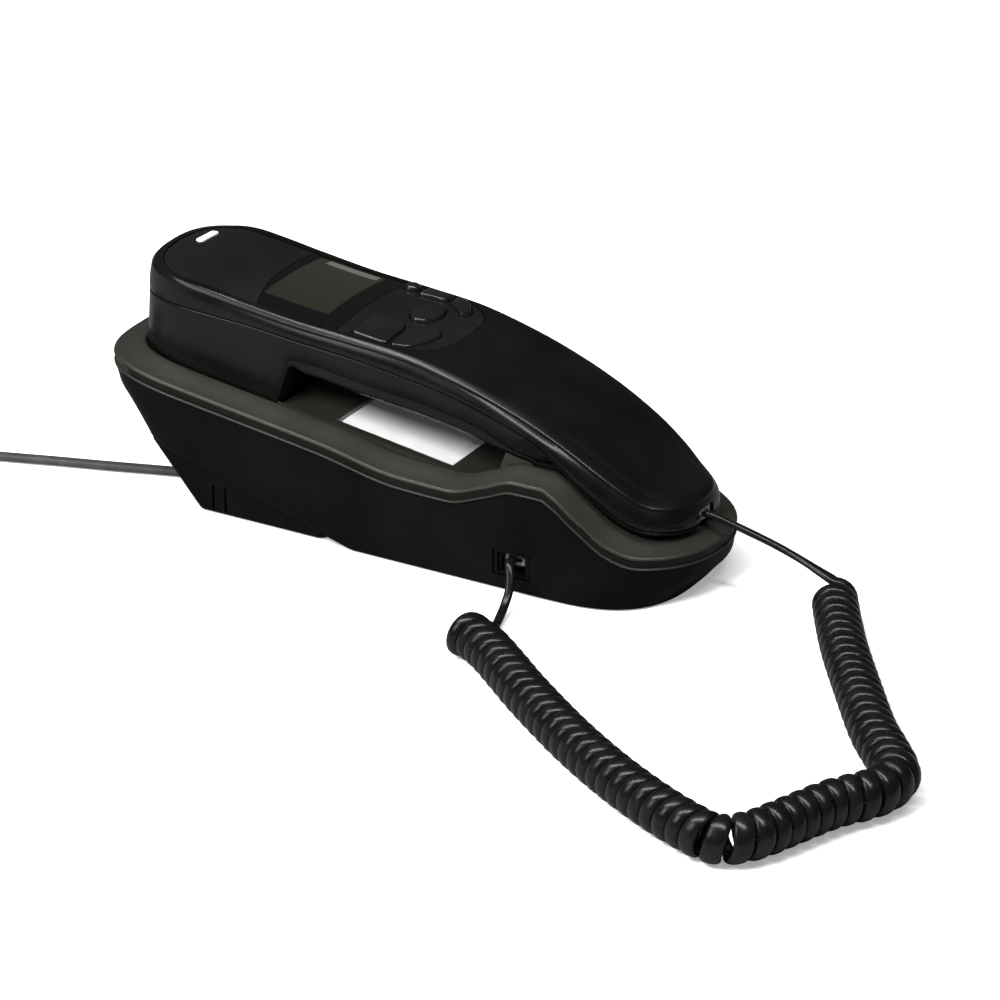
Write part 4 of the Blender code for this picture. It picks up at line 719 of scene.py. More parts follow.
def drill(name: str, radius: float, low: float, high: float, middle: Sequence[float],
          sides: int = 32) -> bpy.types.Object:
    """Upright round cutter.

    Args:
        name: The cutter's name.
        radius: Its radius.
        low: Its bottom, from the middle.
        high: Its top, from the middle.
        middle: Where it stands.
        sides: Points round it.

    Returns:
        The cutter.
    """
    return turned(name, ((0, low), (radius, low), (radius, high), (0, high)), middle, sides)


def screw_room(x: float, surface: float, deep: float) -> bpy.types.Object:
    """Cutter for a screw's head and shank.

    Args:
        x: Its place along the phone.
        surface: Height of the surface that it goes into.
        deep: How far the shank goes in.

    Returns:
        The cutter.
    """
    head, shank, sunk = 0.0030, 0.0014, 0.0013
    return turned("screw_room", ((0, -OVERRUN), (head, -OVERRUN), (head, sunk), (shank, sunk), (shank, deep),
                                 (0, deep)), (x, 0, surface))


def foot_room(name: str, x: float, top: float, round_by: float) -> bpy.types.Object:
    """Cutter for a rubber strip's groove.

    Args:
        name: The cutter's name.
        x: Its middle along the phone.
        top: Its height.
        round_by: Bevel of its edges.

    Returns:
        The cutter.
    """
    return box(name, (x - 0.0033, -0.0203, -OVERRUN), (x + 0.0033, 0.0203, top), round_by)


def rectangle(x: float, y: float, half_long: float, half_wide: float) -> tuple:
    """Corners of a rectangle round a place."""
    return ((x - half_long, y - half_wide), (x + half_long, y - half_wide),
            (x + half_long, y + half_wide), (x - half_long, y + half_wide))


def carve(target: bpy.types.Object, *tools: bpy.types.Object) -> None:
    """Cut tools out of a piece and throw them away.

    Args:
        target: The piece.
        tools: Closed cutters.
    """
    for tool in tools:
        cutting = target.modifiers.new("cut", "BOOLEAN")
        cutting.operation = "DIFFERENCE"
        cutting.solver = "EXACT"
        cutting.object = tool
        pick_only(target)
        bpy.ops.object.modifier_apply(modifier=cutting.name)
        bpy.data.objects.remove(tool, do_unlink=True)


def joined(*pieces: bpy.types.Object) -> bpy.types.Object:
    """Join pieces into the first of them.

    Args:
        pieces: Mesh objects.

    Returns:
        The first, which now holds them all.
    """
    pick_only(*pieces)
    bpy.ops.object.join()
    return bpy.context.object


def smooth(made: bpy.types.Object, degrees: float = 30.0) -> None:
    """Shade smooth, with edges sharper than an angle kept.

    Args:
        made: The mesh object.
        degrees: The angle.
    """
    pick_only(made)
    bpy.ops.object.shade_smooth_by_angle(angle=math.radians(degrees))


def cover(made: bpy.types.Object, material: bpy.types.Material) -> None:
    """Give a piece one material.

    Args:
        made: The piece.
        material: Its material.
    """
    made.data.materials.clear()
    made.data.materials.append(material)


def dress(made: bpy.types.Object, finish: Finish, body: str, *nodes: str, angle: float = 30.0) -> bpy.types.Object:
    """Give a finished piece its finish, its body and the nodes that it stands for.

    Args:
        made: The piece.
        finish: Its finish.
        body: The body it moves with.
        nodes: CAD nodes that it replaces.
        angle: Edges sharper than this stay sharp.

    Returns:
        The piece.
    """
    smooth(made, angle)
    cover(made, finish.material())
    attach(made, body)
    if nodes:
        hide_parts(*nodes)
    finish.slot
    LOG.info("%s rides on %s", made.name, body)
    return made


def paint_node(finish: Finish, *names: str) -> None:
    """Give CAD nodes that stay a finish.

    Args:
        finish: The finish.
        names: The nodes.
    """
    for name in names:
        cover(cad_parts[name], finish.material())
        LOG.info("%s keeps its solid", name)


# ---------------------------------------------------------------- cords


def smooth_route(points: Sequence[Sequence[float]], step: float) -> np.ndarray:
    """Smooth curve through a route's points.

    Args:
        points: The route.
        step: Distance between points of the curve.

    Returns:
        Points along the curve.
    """
    points = np.array([tuple(point) for point in points], dtype=float)
    count = len(points)
    line = []
    for i in range(count - 1):
        p0, p1, p2, p3 = points[max(i - 1, 0)], points[i], points[i + 1], points[min(i + 2, count - 1)]
        parts = max(1, round(float(np.linalg.norm(p2 - p1)) / step))
        for part in range(parts):
            t = part / parts
            line.append(0.5 * (2 * p1 + (p2 - p0) * t + (2 * p0 - 5 * p1 + 4 * p2 - p3) * t * t
                               + (3 * p1 - p0 - 3 * p2 + p3) * t ** 3))
    line.append(points[-1])
    return np.array(line)


def unit(rows: np.ndarray) -> np.ndarray:
    """Rows brought to length 1."""
    return rows / np.maximum(np.linalg.norm(rows, axis=-1, keepdims=True), 1e-12)


def length_of(line: np.ndarray) -> float:
    """Length of a line of points."""
    return float(np.linalg.norm(np.diff(line, axis=0), axis=1).sum())


def swept(name: str, line: np.ndarray, faces: np.ndarray, wide: np.ndarray, thick: np.ndarray,
          sides: int = 14, power: float = 2.4) -> bpy.types.Object:
    """Flat-oval jacket along a line, with rounded-off ends and a UV map named along.

    Args:
        name: The object's name.
        line: Middle line.
        faces: Direction of the flat side at each point.
        wide: Half width at each point.
        thick: Half thickness at each point.
        sides: Points round the section.
        power: Squareness of the section.

    Returns:
        The new mesh object.
    """
    ahead = unit(np.gradient(line, axis=0))
    out = unit(faces - (faces * ahead).sum(1, keepdims=True) * ahead)
    side = np.cross(ahead, out)
    spin = np.linspace(0, 2 * math.pi, sides + 1)
    u = np.sign(np.cos(spin)) * np.abs(np.cos(spin)) ** (2 / power)
    v = np.sign(np.sin(spin)) * np.abs(np.sin(spin)) ** (2 / power)
    rows = (line[:, None] + side[:, None] * (wide[:, None] * u)[..., None]
            + out[:, None] * (thick[:, None] * v)[..., None])
    caps = [np.repeat(end[None, None], sides + 1, 1) for end in (line[0], line[-1])]
    rows = np.concatenate([caps[0], rows, caps[1]])
    made = skin(name, rows)
    layer = made.data.uv_layers[0]
    layer.name = "along"
    spots = np.empty(len(made.data.loops) * 2)
    layer.data.foreach_get("uv", spots)
    spots[1::2] *= length_of(line) * 100
    layer.data.foreach_set("uv", spots)
    return made


@dataclass
class Plug:
    """Clear modular plug: stepped body, hooked latch, contact blades and the crimp bar."""

    wide: float
    high: float
    long: float = 0.0105
    latch_thick: float = 0.0008
    blades: int = 4

    def frame(self, place: Vector, forward: Vector, up: Vector) -> Matrix:
        """Frame of the plug, with x forward and z up.

        Args:
            place: Middle of its back face.
            forward: Way that it points.
            up: Side of its latch.

        Returns:
            The frame.
        """
        forward, up = forward.normalized(), up.normalized()
        made = Matrix((forward, up.cross(forward), up)).transposed().to_4x4()
        made.translation = place
        return made

    def build(self, name: str, place: Vector, forward: Vector, up: Vector) -> tuple:
        """Model the plug and its blades.

        Args:
            name: The plug's name.
            place: Middle of its back face.
            forward: Way that it points.
            up: Side of its latch.

        Returns:
            The clear body and the blades.
        """
        half, low = self.wide / 2, -self.high / 2
        top = self.high / 2 - self.latch_thick * 2
        shell = box(name, (0, -half, low), (self.long, half, top), 0.0004)
        mouth = box(name + "_mouth", (-MILLI, -half * 0.62, low + MILLI), (0.0022, half * 0.62, top - MILLI), 0.0003)
        crimp = box(name + "_crimp", (0.0030, -half * 0.7, low - MILLI), (0.0050, half * 0.7, low + MILLI), 0.0003)
        carve(shell, mouth, crimp)
        latch_rows = ((0.0098, top - 0.0006), (0.0090, top + 0.0001), (0.0070, top + 0.0006), (0.0045, top + 0.0009),
                      (0.0020, top + 0.0012))
        rows = []
        for x, z in latch_rows:
            y = half * (0.36 if x < 0.006 else 0.46)
            thin = self.latch_thick * 0.5
            rows.append([(x, -y, z - thin * 0.5), (x, y, z - thin * 0.5), (x, y, z + thin * 0.5),
                         (x, -y, z + thin * 0.5), (x, -y, z - thin * 0.5)])
        middles = [np.tile(np.mean(row[:4], axis=0), (5, 1)) for row in (rows[0], rows[-1])]
        latch = skin(name + "_latch", np.array([middles[0], *rows, middles[1]]))
        blades = []
        for index in range(self.blades):
            y = (index - (self.blades - 1) / 2) * 0.00102
            blades.append(box(name + "_blade", (self.long - 0.0034, y - 0.00016, low - 0.00004),
                              (self.long - 0.0004, y + 0.00016, low + 0.0026), 0.00008, 1))
        shell = joined(shell, latch)
        contacts = joined(*blades)
        contacts.name = name + "_contacts"
        contacts.data.name = contacts.name
        frame_of = self.frame(place, forward, up)
        for piece in (shell, contacts):
            piece.data.transform(frame_of)
            piece.data.update()
        return shell, contacts


@dataclass
class CurlyCord:
    """Handset cord: flat-oval jacket curled into about sixty turns between two straight tails."""

    wire_wide: float = 0.0054
    wire_thick: float = 0.0029
    tail_wide: float = 0.0028
    tail_thick: float = 0.0021
    outer: float = 0.0146
    turns: float = 60.5
    per_turn: int = 26
    up: float = 0.0075
    span: int = 80
    step: float = 2 * HALF_LENGTH / 4000
    spacing_share: float = 0.485
    route: tuple = (
        (0.0606, -0.0800), (0.0654, -0.0812), (0.0738, -0.0864), (0.0854, -0.0956), (0.0980, -0.1058),
        (0.1214, -0.1230), (0.1423, -0.1364), (0.1608, -0.1464), (0.1755, -0.1528), (0.1870, -0.1556),
        (0.1944, -0.1490), (0.1992, -0.1377), (0.2056, -0.1214), (0.2130, -0.1092), (0.2142, -0.0978),
        (0.2072, -0.0880), (0.1960, -0.0752), (0.1810, -0.0545), (0.1664, -0.0337), (0.1561, -0.0175),
        (0.1475, -0.0030))
    base_tail: tuple = (
        (0.0537, -0.0400, 0.0128), (0.0560, -0.0432, 0.0098), (0.0572, -0.0460, 0.0062),
        (0.0578, -0.0497, 0.0032), (0.0590, -0.0546, 0.0018), (0.0608, -0.0606, 0.0016),
        (0.0622, -0.0690, 0.0020))
    handset_tail: tuple = (
        (0.1418, -0.0022, 0.0150), (0.1344, -0.0002, 0.0164), (0.1245, 0.0010, 0.0187),
        (0.1140, 0.0008, 0.0214))

    def curls(self) -> tuple[np.ndarray, np.ndarray, np.ndarray]:
        """Middle line of the wire through its curls.

        Returns:
            The line, the outward direction at each point, and the room along the coil for one turn.
        """
        route = smooth_route([(x, y, self.up) for x, y in self.route], self.step)
        count = len(route)
        places = np.arange(count)
        before = route - route[np.maximum(places - self.span, 0)]
        after = route[np.minimum(places + self.span, count - 1)] - route
        long_before, long_after = np.linalg.norm(before, axis=1), np.linalg.norm(after, axis=1)
        cosine = (before * after).sum(1) / np.maximum(long_before * long_after, 1e-12)
        angle = np.where(long_before * long_after > 0, np.arccos(np.clip(cosine, -1, 1)), 0.0)
        radius = (self.outer - self.wire_thick) / 2
        bend = angle / np.maximum((long_before + long_after) / 2, 0.0022)
        lengths = np.concatenate([[0.0], np.linalg.norm(np.diff(route, axis=0), axis=1)])
        weights = np.cumsum(lengths * np.maximum(1 - (radius + FIT) * bend, 0.95))
        steps = round(self.turns * self.per_turn)
        wanted = np.linspace(0, weights[-1], steps + 1)
        index = np.interp(wanted, weights, places)
        middle = np.stack([np.interp(index, places, route[:, axis]) for axis in range(3)], 1)
        whole = index.astype(int)
        ahead = unit(route[np.minimum(whole + self.span, count - 1)] - route[np.maximum(whole - self.span, 0)])
        across = np.stack([-ahead[:, 1], ahead[:, 0], np.zeros(len(ahead))], 1)
        turn = -math.pi / 2 - 2 * math.pi * np.arange(steps + 1) / self.per_turn
        out = across * np.cos(turn)[:, None] + np.array([0.0, 0.0, 1.0]) * np.sin(turn)[:, None]
        line = middle + radius * out
        behind = np.linalg.norm(line[self.per_turn:] - line[:-self.per_turn], axis=1)
        room = np.minimum(np.concatenate([np.full(self.per_turn, np.inf), behind]),
                          np.concatenate([behind, np.full(self.per_turn, np.inf)]))
        return line, out, room

    def build(self, base_exit: Vector, handset_exit: Vector) -> bpy.types.Object:
        """Args:
            base_exit: Back of the plug in the base.
            handset_exit: Back of the plug in the handset.

        Returns:
            The cord.
        """
        tail = self.wire_wide * 0.5
        start = base_exit + Vector((0, -FIT, 0))
        end = handset_exit + Vector((FIT, 0, 0))
        line, out, room = self.curls()
        first = smooth_route([start, start + Vector((0, -tail, 0)), *self.base_tail, line[0]], 0.0020)[:-1]
        last = smooth_route([line[-1], *self.handset_tail, end + Vector((tail, 0, 0)), end], 0.0020)[1:]
        down = np.array([0.0, 0.0, -1.0])
        path = np.concatenate([first, line, last])
        faces = np.concatenate([np.tile(down, (len(first), 1)), out, np.tile(-down, (len(last), 1))])
        mix = np.concatenate([np.zeros(len(first)), np.ones(len(line)), np.zeros(len(last))])
        kernel = np.hanning(2 * (self.per_turn // 3) + 1)
        kernel /= kernel.sum()
        mix = np.convolve(np.pad(mix, len(kernel) // 2, mode="edge"), kernel, mode="valid")
        room = np.concatenate([np.full(len(first), np.inf), room, np.full(len(last), np.inf)])
        curl_half = np.minimum(self.wire_wide * 0.58, room * self.spacing_share)
        wide = mix * curl_half + (1 - mix) * self.tail_wide / 2
        thick = (mix * self.wire_thick + (1 - mix) * self.tail_thick) / 2
        made = swept("handset_cord_curls", path, faces, wide, thick, 16, 2.15)
        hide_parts("handset_cord")
        Finish.CORD.slot
        smooth(made, 60)
        cover(made, Finish.CORD.material())
        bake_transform(made)
        return made


@dataclass
class LineCord:
    """Flat line cord: from the jack under the base, out past the ear end, to a tied coil and a plug."""

    wide: float = 0.0034
    thick: float = 0.0016
    solid: float = 0.0026
    loops: int = 10
    per_loop: int = 64
    middle: tuple = (-0.1975, -0.0178)
    outer: float = 0.0288
    inner: float = 0.0110
    layer: float = 0.0031
    entry: float = math.radians(-71.5)
    tie_thick: float = 0.0008
    tie_wide: float = 0.0060
    tie_angle: float = math.radians(75)
    drop: float = 0.0030
    plug_in: float = 0.0064
    plug: Plug = field(default_factory=lambda: Plug(0.0097, 0.0060))
    route: tuple = (
        (-0.0650, -0.0099, 0.0042), (-0.0692, -0.0106, 0.0020), (-0.0765, -0.0124, 0.0014),
        (-0.0860, -0.0146, 0.0014), (-0.1081, -0.0220, 0.0014), (-0.1232, -0.0268, 0.0014),
        (-0.1425, -0.0333, 0.0014), (-0.1613, -0.0393, 0.0014), (-0.1763, -0.0442, 0.0014))
    end_route: tuple = (
        (-0.1981, -0.0518, 0.0046), (-0.2045, -0.0543, 0.0038), (-0.2113, -0.0553, 0.0033))

    def coil(self) -> np.ndarray:
        """Middle line of the stored loops: in along one layer, and out again along the next."""
        floor = self.solid / 2 + self.tie_thick + 2 * FIT
        turn = np.arange(self.loops * self.per_loop + 1) / self.per_loop
        inward = np.minimum(turn, self.loops - turn) / (self.loops / 2)
        radius = self.outer + (self.inner - self.outer) * inward
        climb = np.clip((turn - self.loops / 2) * 2 + 0.5, 0, 1)
        angle = self.entry - 2 * math.pi * turn
        return np.stack([self.middle[0] + radius * np.cos(angle), self.middle[1] + radius * np.sin(angle),
                         floor + climb * self.layer], 1)

    def build(self) -> None:
        up = Vector((math.sin(UNDERSIDE_TILT), 0, math.cos(UNDERSIDE_TILT)))
        along = Vector((math.cos(UNDERSIDE_TILT), 0, -math.sin(UNDERSIDE_TILT)))
        back = line_mouth() - up * (self.plug.long - self.plug_in)
        inner = self.plug.build("line_plug_inner_clear", back, up, along)
        coil = self.coil()
        heading = Vector(coil[1] - coil[0])
        heading.z = 0
        heading.normalize()
        start = back - up * FIT
        entry = Vector(coil[0])
        free = smooth_route([start, start - up * self.drop, *self.route, entry - heading * self.solid * 2], 0.0025)
        last = Vector(self.end_route[-1]) + Vector((-0.0026, 0, 0))
        tail = smooth_route([coil[-1], *self.end_route, last], 0.0025)
        path = np.concatenate([free, coil, tail[1:]])
        faces = np.tile([0.0, 0.0, 1.0], (len(path), 1))
        bend = 8
        away, toward = np.linspace(1, 0, bend)[:, None], np.linspace(0, 1, bend)[:, None]
        faces[:bend] = np.array(along) * away + faces[:bend] * toward
        fade = np.clip((len(free) - 4 - np.arange(len(path))) / 6, 0, 1)
        made = swept("line_cord_flat", path, faces, (self.wide + 0.0006 * fade) / 2,
                     (self.thick + 0.0008 * fade) / 2, 12, 3.2)
        outer = self.plug.build("line_plug_clear", last + Vector((-FIT, 0, 0)), Vector((-1, 0, 0)),
                                Vector((0, 0, 1)))
        dress(made, Finish.FLAT_CORD, "base", "line_cord", "line_cord_coil", angle=60)
        for (body, blades), node in ((inner, "line_plug_inner"), (outer, "line_plug")):
            dress(body, Finish.PLUG, "base", node)
            dress(blades, Finish.BRASS, "base")
        self.build_tie()
        LOG.info("line_cord_flat: %.3f m", length_of(path))

    def build_tie(self) -> None:
        """Model the strap round the loops, with its overlapping end."""
        clear = self.solid / 2 + FIT
        long = self.outer - self.inner + 2 * clear + self.solid / 2
        high = self.layer + 2 * clear
        outward = np.array([math.cos(self.tie_angle), math.sin(self.tie_angle), 0])
        sideways = np.array([-outward[1], outward[0], 0])
        centre = np.array([*self.middle, self.tie_thick + FIT + high / 2]) + outward * (self.outer + self.inner) / 2

        def band(grow: float, share: float) -> np.ndarray:
            """Rounded rectangle round the bundle; share is how much of it the band covers."""
            spin = np.linspace(0.25, 0.25 + share, 73) * 2 * math.pi
            power = 2 / 4.5
            u = (long / 2 + grow) * np.sign(np.cos(spin)) * np.abs(np.cos(spin)) ** power
            v = (high / 2 + grow) * np.sign(np.sin(spin)) * np.abs(np.sin(spin)) ** power
            return centre + outward * u[:, None] + np.array([0, 0, 1.0]) * v[:, None]

        half = sideways * self.tie_wide / 2
        bevel = sideways * 0.0003
        thick = self.tie_thick
        rows = [band(0.0001, 1) - half + bevel, band(0.0001, 1) + half - bevel, band(0.0003, 1) + half,
                band(thick - 0.0003, 1) + half, band(thick, 1) + half - bevel, band(thick, 1) - half + bevel,
                band(thick - 0.0003, 1) - half, band(0.0003, 1) - half, band(0.0001, 1) - half + bevel]
        strap = skin("cord_tie_strap", np.array(rows))
        flap_low, flap_high = band(thick + 0.00002, 0.16), band(thick + 0.0006, 0.16)
        slim = half * 0.94
        flap_rows = [flap_low - slim, flap_low + slim, flap_high + slim - bevel, flap_high - slim + bevel,
                     flap_low - slim]
        flap_rows = np.array(flap_rows)
        ends = [np.tile(flap_rows[:, index].mean(0), (len(flap_rows), 1)) for index in (0, -1)]
        flap_rows = np.concatenate([ends[0][:, None], flap_rows, ends[1][:, None]], 1)
        strap = joined(strap, skin("cord_tie_flap", flap_rows))
        dress(strap, Finish.FOOT, "base", "cord_tie")


# ---------------------------------------------------------------- base


def arc(steps: int) -> list[tuple[float, float]]:
    """Sine and 1 - cosine over a quarter turn, for fillets."""
    return [(math.sin(a), 1 - math.cos(a)) for a in np.linspace(0, math.pi / 2, steps + 1)]


def mixed(first: Plan, second: Plan, share: float) -> Plan:
    """Outline between two outlines.

    Args:
        first: Outline at share 0.
        second: Outline at share 1.
        share: Place between them.

    Returns:
        The outline between.
    """
    names = ("left", "near_left", "near_right", "right", "half", "left_power", "right_power")
    return replace(first, **{name: (1 - share) * getattr(first, name) + share * getattr(second, name)
                             for name in names})


def between(low: Height, high: Height, share: float) -> Height:
    """Height between two heights.

    Args:
        low: Height at share 0.
        high: Height at share 1.
        share: Place between them.

    Returns:
        The height between.
    """
    return lambda x, y: (1 - share) * low(x, y) + share * high(x, y)


class Loft:
    """Outlines at one height after another, closed over the middle at both ends."""

    def __init__(self) -> None:
        """Start without rows."""
        self.rows: list[np.ndarray] = []

    def ring(self, plan: Plan, height: Height, lift: float = 0.0) -> None:
        """Add an outline at a height, lifted by an offset."""
        self.rows.append(plan.level(raised(height, lift)))

    def close(self, plan: Plan, height: Height, steps: int, start: int = 0) -> None:
        """Close the loft over its middle, before its other rows or after them.

        Args:
            plan: The outline that folds to its middle line.
            height: Height over the fold.
            steps: Rows from the outline to the middle line.
            start: First of them, 1 where the loft has the outline itself.
        """
        fold = []
        for step in range(start, steps + 1):
            share = step / steps
            pull = share * 0.5 * plan.half
            fold.append(replace(plan, half=plan.half * (1 - share), left=plan.left + pull,
                                right=plan.right - pull).level(height))
        self.rows += fold if self.rows else fold[::-1]

    def fillet(self, plan: Plan, height: Height, inset: float, lift: float, steps: int,
               narrowing: bool = False, start: int = 1) -> None:
        """Add a quarter round.

        Args:
            plan: The outline at its wide end.
            height: Height at its flat end.
            inset: How far the outline is drawn in at the flat end.
            lift: How far the height is raised at the wide end.
            steps: Its segments.
            narrowing: Whether it runs from the wide end to the flat one.
            start: First row, 1 where the loft has the row before.
        """
        for rise, side in arc(steps)[start:]:
            inward, upward = (side, 1 - rise) if narrowing else (1 - rise, side)
            self.ring(plan.drawn_in(inset * inward), height, lift * upward)

    def pass_over(self, first: Plan, second: Plan, low: Height, high: Height,
                  shares: Iterable[float | tuple[float, float]]) -> None:
        """Add outlines between two.

        Args:
            first: Outline at share 0.
            second: Outline at share 1.
            low: Height at share 0.
            high: Height at share 1.
            shares: Share of each row, or a pair of its outline's share and its height's.
        """
        for share in shares:
            out, up = share if isinstance(share, tuple) else (share, share)
            self.ring(mixed(first, second, out), between(low, high, up))

    def skin(self, name: str) -> bpy.types.Object:
        """The object that the rows stand for."""
        return skin(name, np.array(self.rows))


@dataclass
class Base:
    """Cradle base: lower body, rim and wells, card, wedge bracket and the socket in the near side."""

    lip_gap: float = 0.0003
    lip_in: float = 0.0004
    rim_fillet: float = 0.0012
    rim_low_fillet: float = 0.0003
    well_edge: float = 0.0009
    floor_fillet: float = 0.0016
    foot_fillet: float = 0.0004
    jack_x: float = 0.480 * HALF_LENGTH
    jack_up: float = 0.0092
    plug: Plug = field(default_factory=lambda: Plug(0.0077, 0.0056))
    bracket_half: float = HALF_WIDTH - 0.0022

    def build_body(self) -> None:
        """Lower body with the openings for both sockets, the knob, the screws and the front foot."""
        lip = raised(RIM, -RIM_BAND - self.lip_gap)
        top_plan = BASE_PLAN.drawn_in(self.lip_in)
        loft = Loft()
        loft.close(BODY_PLAN.drawn_in(self.foot_fillet), underside, 4)
        loft.fillet(BODY_PLAN, underside, self.foot_fillet, self.foot_fillet, 5)
        bulge = mixed(top_plan, BODY_PLAN, 0.14)
        low, knee = raised(underside, self.foot_fillet), raised(lip, -0.0050)
        loft.pass_over(BODY_PLAN, bulge, low, knee, (0.2, 0.4, 0.6, 0.8, 0.92))
        loft.pass_over(bulge, top_plan, knee, lip, (
            (0.06, 0.10), (0.30, 0.35), (0.58, 0.6), (0.86, 0.85), (1.0, 1.0)))
        loft.ring(top_plan.drawn_in(WALL), lip)
        loft.ring(BODY_PLAN.drawn_in(WALL * 1.2, WALL), underside, WALL + self.foot_fillet)
        loft.close(BODY_PLAN.drawn_in(WALL * 2, WALL * 1.6), raised(underside, WALL), 3)
        body = loft.skin("base_body_shell")
        near = -HALF_WIDTH
        carve(
            body,
            box("jack_room", (self.jack_x - 0.00665, near - 0.006, self.jack_up - 0.0045),
                (self.jack_x + 0.00665, near + 0.0075, self.jack_up + 0.0045), 0.0005),
            box("knob_room", (KNOB_X - 0.0033, HALF_WIDTH - 0.0075, 0.0162),
                (KNOB_X + 0.0093, HALF_WIDTH + OVERRUN, 0.0208), 0.0005),
            foot_room("front_foot_room", FRONT_FOOT_X, 0.0013, 0.0003),
            self.line_socket_room(), *self.screw_rooms())
        dress(body, Finish.BASE, "base", "base_body")

    def line_socket_room(self) -> bpy.types.Object:
        """Cutter for the line socket in the slanted floor."""
        room = box("line_room", (-0.0047, -0.0066, -OVERRUN), (0.0047, 0.0066, 0.0086), 0.0004)
        room.data.transform(Matrix.Translation(line_mouth()) @ Matrix.Rotation(UNDERSIDE_TILT, 4, "Y"))
        return room

    def screw_rooms(self) -> list[bpy.types.Object]:
        """Cutters for the two screws' heads in the underside."""
        return [screw_room(x, at(underside, x + 0.0027), 0.010)
                for x in (-0.470 * HALF_LENGTH, 0.440 * HALF_LENGTH)]

    def build_cradle(self) -> None:
        """Rim band, soft flange and the wells that the handset lies in; the band's sideways faces take a darker copy
        of the rim's material as painted shade.
        """
        loft = Loft()
        loft.close(WELL_FOOT.drawn_in(-WALL), raised(cradle_floor, -WALL), 4)
        loft.ring(WELL_PLAN.drawn_in(-WALL), flange_edge, -WALL)
        loft.ring(BASE_PLAN.drawn_in(WALL), RIM, -WALL)
        loft.ring(BASE_PLAN.drawn_in(WALL), RIM, -RIM_BAND)
        loft.fillet(BASE_PLAN, raised(RIM, -RIM_BAND), self.rim_low_fillet, self.rim_low_fillet, 4, start=0)
        for inward, height in ((0.0, 0.00045), (0.00012, 0.00070), (0.00036, 0.00086), (0.00060, 0.00094)):
            loft.ring(BASE_PLAN.drawn_in(inward), RIM, -RIM_BAND + height)
        loft.ring(BASE_PLAN.drawn_in(0.0004), RIM, -self.rim_fillet - 0.0006)
        loft.fillet(BASE_PLAN, RIM, self.rim_fillet, -self.rim_fillet, 6, narrowing=True, start=0)
        outer, inner = BASE_PLAN.drawn_in(self.rim_fillet), WELL_PLAN.drawn_in(-self.well_edge)
        loft.pass_over(outer, inner, RIM, flange_edge, [
            (share, 0.35 * share + 0.65 * eased(share)) for share in (0.1, 0.25, 0.4, 0.55, 0.7, 0.85, 1.0)])
        loft.fillet(WELL_PLAN, flange_edge, -self.well_edge, -self.well_edge, 4)
        top, low = raised(flange_edge, -self.well_edge), raised(cradle_floor, self.floor_fillet)
        loft.pass_over(WELL_PLAN, WELL_FOOT, top, low, (0.3, 0.6, 0.85))
        loft.fillet(WELL_FOOT, cradle_floor, self.floor_fillet, self.floor_fillet, 5, narrowing=True, start=0)
        loft.close(WELL_FOOT.drawn_in(self.floor_fillet), cradle_floor, 6, 1)
        cradle = loft.skin("cradle_rim_shell")
        carve(cradle, self.card_room(), *self.cradle_rooms())
        dress(cradle, Finish.RIM, "base", "cradle_top")
        # Painted shade: faces near the outline that face sideways, below the rim, take the darker copy of the rim's
        # material.
        cradle.data.materials.append(Finish.SHADED_BAND.material())
        edge = 0.004
        for face in cradle.data.polygons:
            x, y, z = face.center
            outside = abs(y) > BASE_PLAN.half - edge or x < BASE_PLAN.left + edge or x > BASE_PLAN.right * 0.6
            if outside and face.normal.z < 0.35 and z > RIM(x) - 2 * RIM_BAND:
                face.material_index = 1

    def slanted(self, name: str, half_long: float, half_wide: float, low: float, high: float,
                round_by: float) -> bpy.types.Object:
        """Box on the slanted plane of the card recess.

        Args:
            name: Its name.
            half_long: Half its length.
            half_wide: Half its width.
            low: Its bottom, from the recess plane.
            high: Its top, from the recess plane.
            round_by: Bevel of its edges.

        Returns:
            The box.
        """
        made = box(name, (-half_long, -half_wide, low), (half_long, half_wide, high), round_by)
        tilt = math.atan(RECESS_SLOPE)
        made.data.transform(Matrix.Translation((0, 0, RECESS_MID)) @ Matrix.Rotation(tilt, 4, "Y"))
        return made

    def card_room(self) -> bpy.types.Object:
        """Cutter for the card's pocket."""
        return self.slanted("card_room", 0.0217, 0.0191, -0.0016, 0.004, 0.0)

    def cradle_rooms(self) -> list[bpy.types.Object]:
        """Cutters for the hook plunger and the hanger tab."""
        hook = drill("hook_room", 0.0033, -0.006, 0.003, (HOOK_X, 0.011, at(cradle_floor, HOOK_X)))
        floor = at(recess, TAB_X)
        tab = box("tab_room", (TAB_X - 0.0013, -0.0053, floor - 0.007), (TAB_X + 0.0013, 0.0053, floor + OVERRUN))
        return [hook, tab]

    def build_card(self) -> None:
        """Clear cover with a finger notch over the directory card."""
        sheet = self.slanted("card_cover_sheet", 0.0214, 0.0188, -0.0010, -0.0002, 0.00018)
        notch_x = 0.0222
        carve(sheet, drill("cover_notch", 0.0042, -OVERRUN, OVERRUN, (notch_x, 0, at(recess, notch_x))))
        dress(sheet, Finish.COVER, "base", "card_cover")
        paint_node(Finish.CARD, "index_card")

    def build_bracket(self) -> None:
        """Wedge bracket with its window, cord notch and latch tab."""
        foot_end, top_end = -0.655 * HALF_LENGTH, -0.815 * HALF_LENGTH
        right = TILT_START - (0.0006 + 0.0012 + FIT) / UNDERSIDE_SLOPE
        foot = Plan(foot_end, foot_end + 0.007, right - 0.007, right, self.bracket_half, 2.5, 2.5, 14, 30)
        lean = foot_end - top_end
        top = replace(foot, left=foot.left - lean, near_left=foot.near_left - lean)
        window_right = -0.36 * HALF_LENGTH

        def low(x: np.ndarray, y: np.ndarray) -> np.ndarray:
            """Height of the bracket's bottom."""
            return np.full_like(x, GROUND)

        def high(x: np.ndarray, y: np.ndarray) -> np.ndarray:
            """Height of the bracket's slanted top."""
            return GROUND + UNDERSIDE_SLOPE * (TILT_START - x) - FIT / math.cos(UNDERSIDE_TILT)

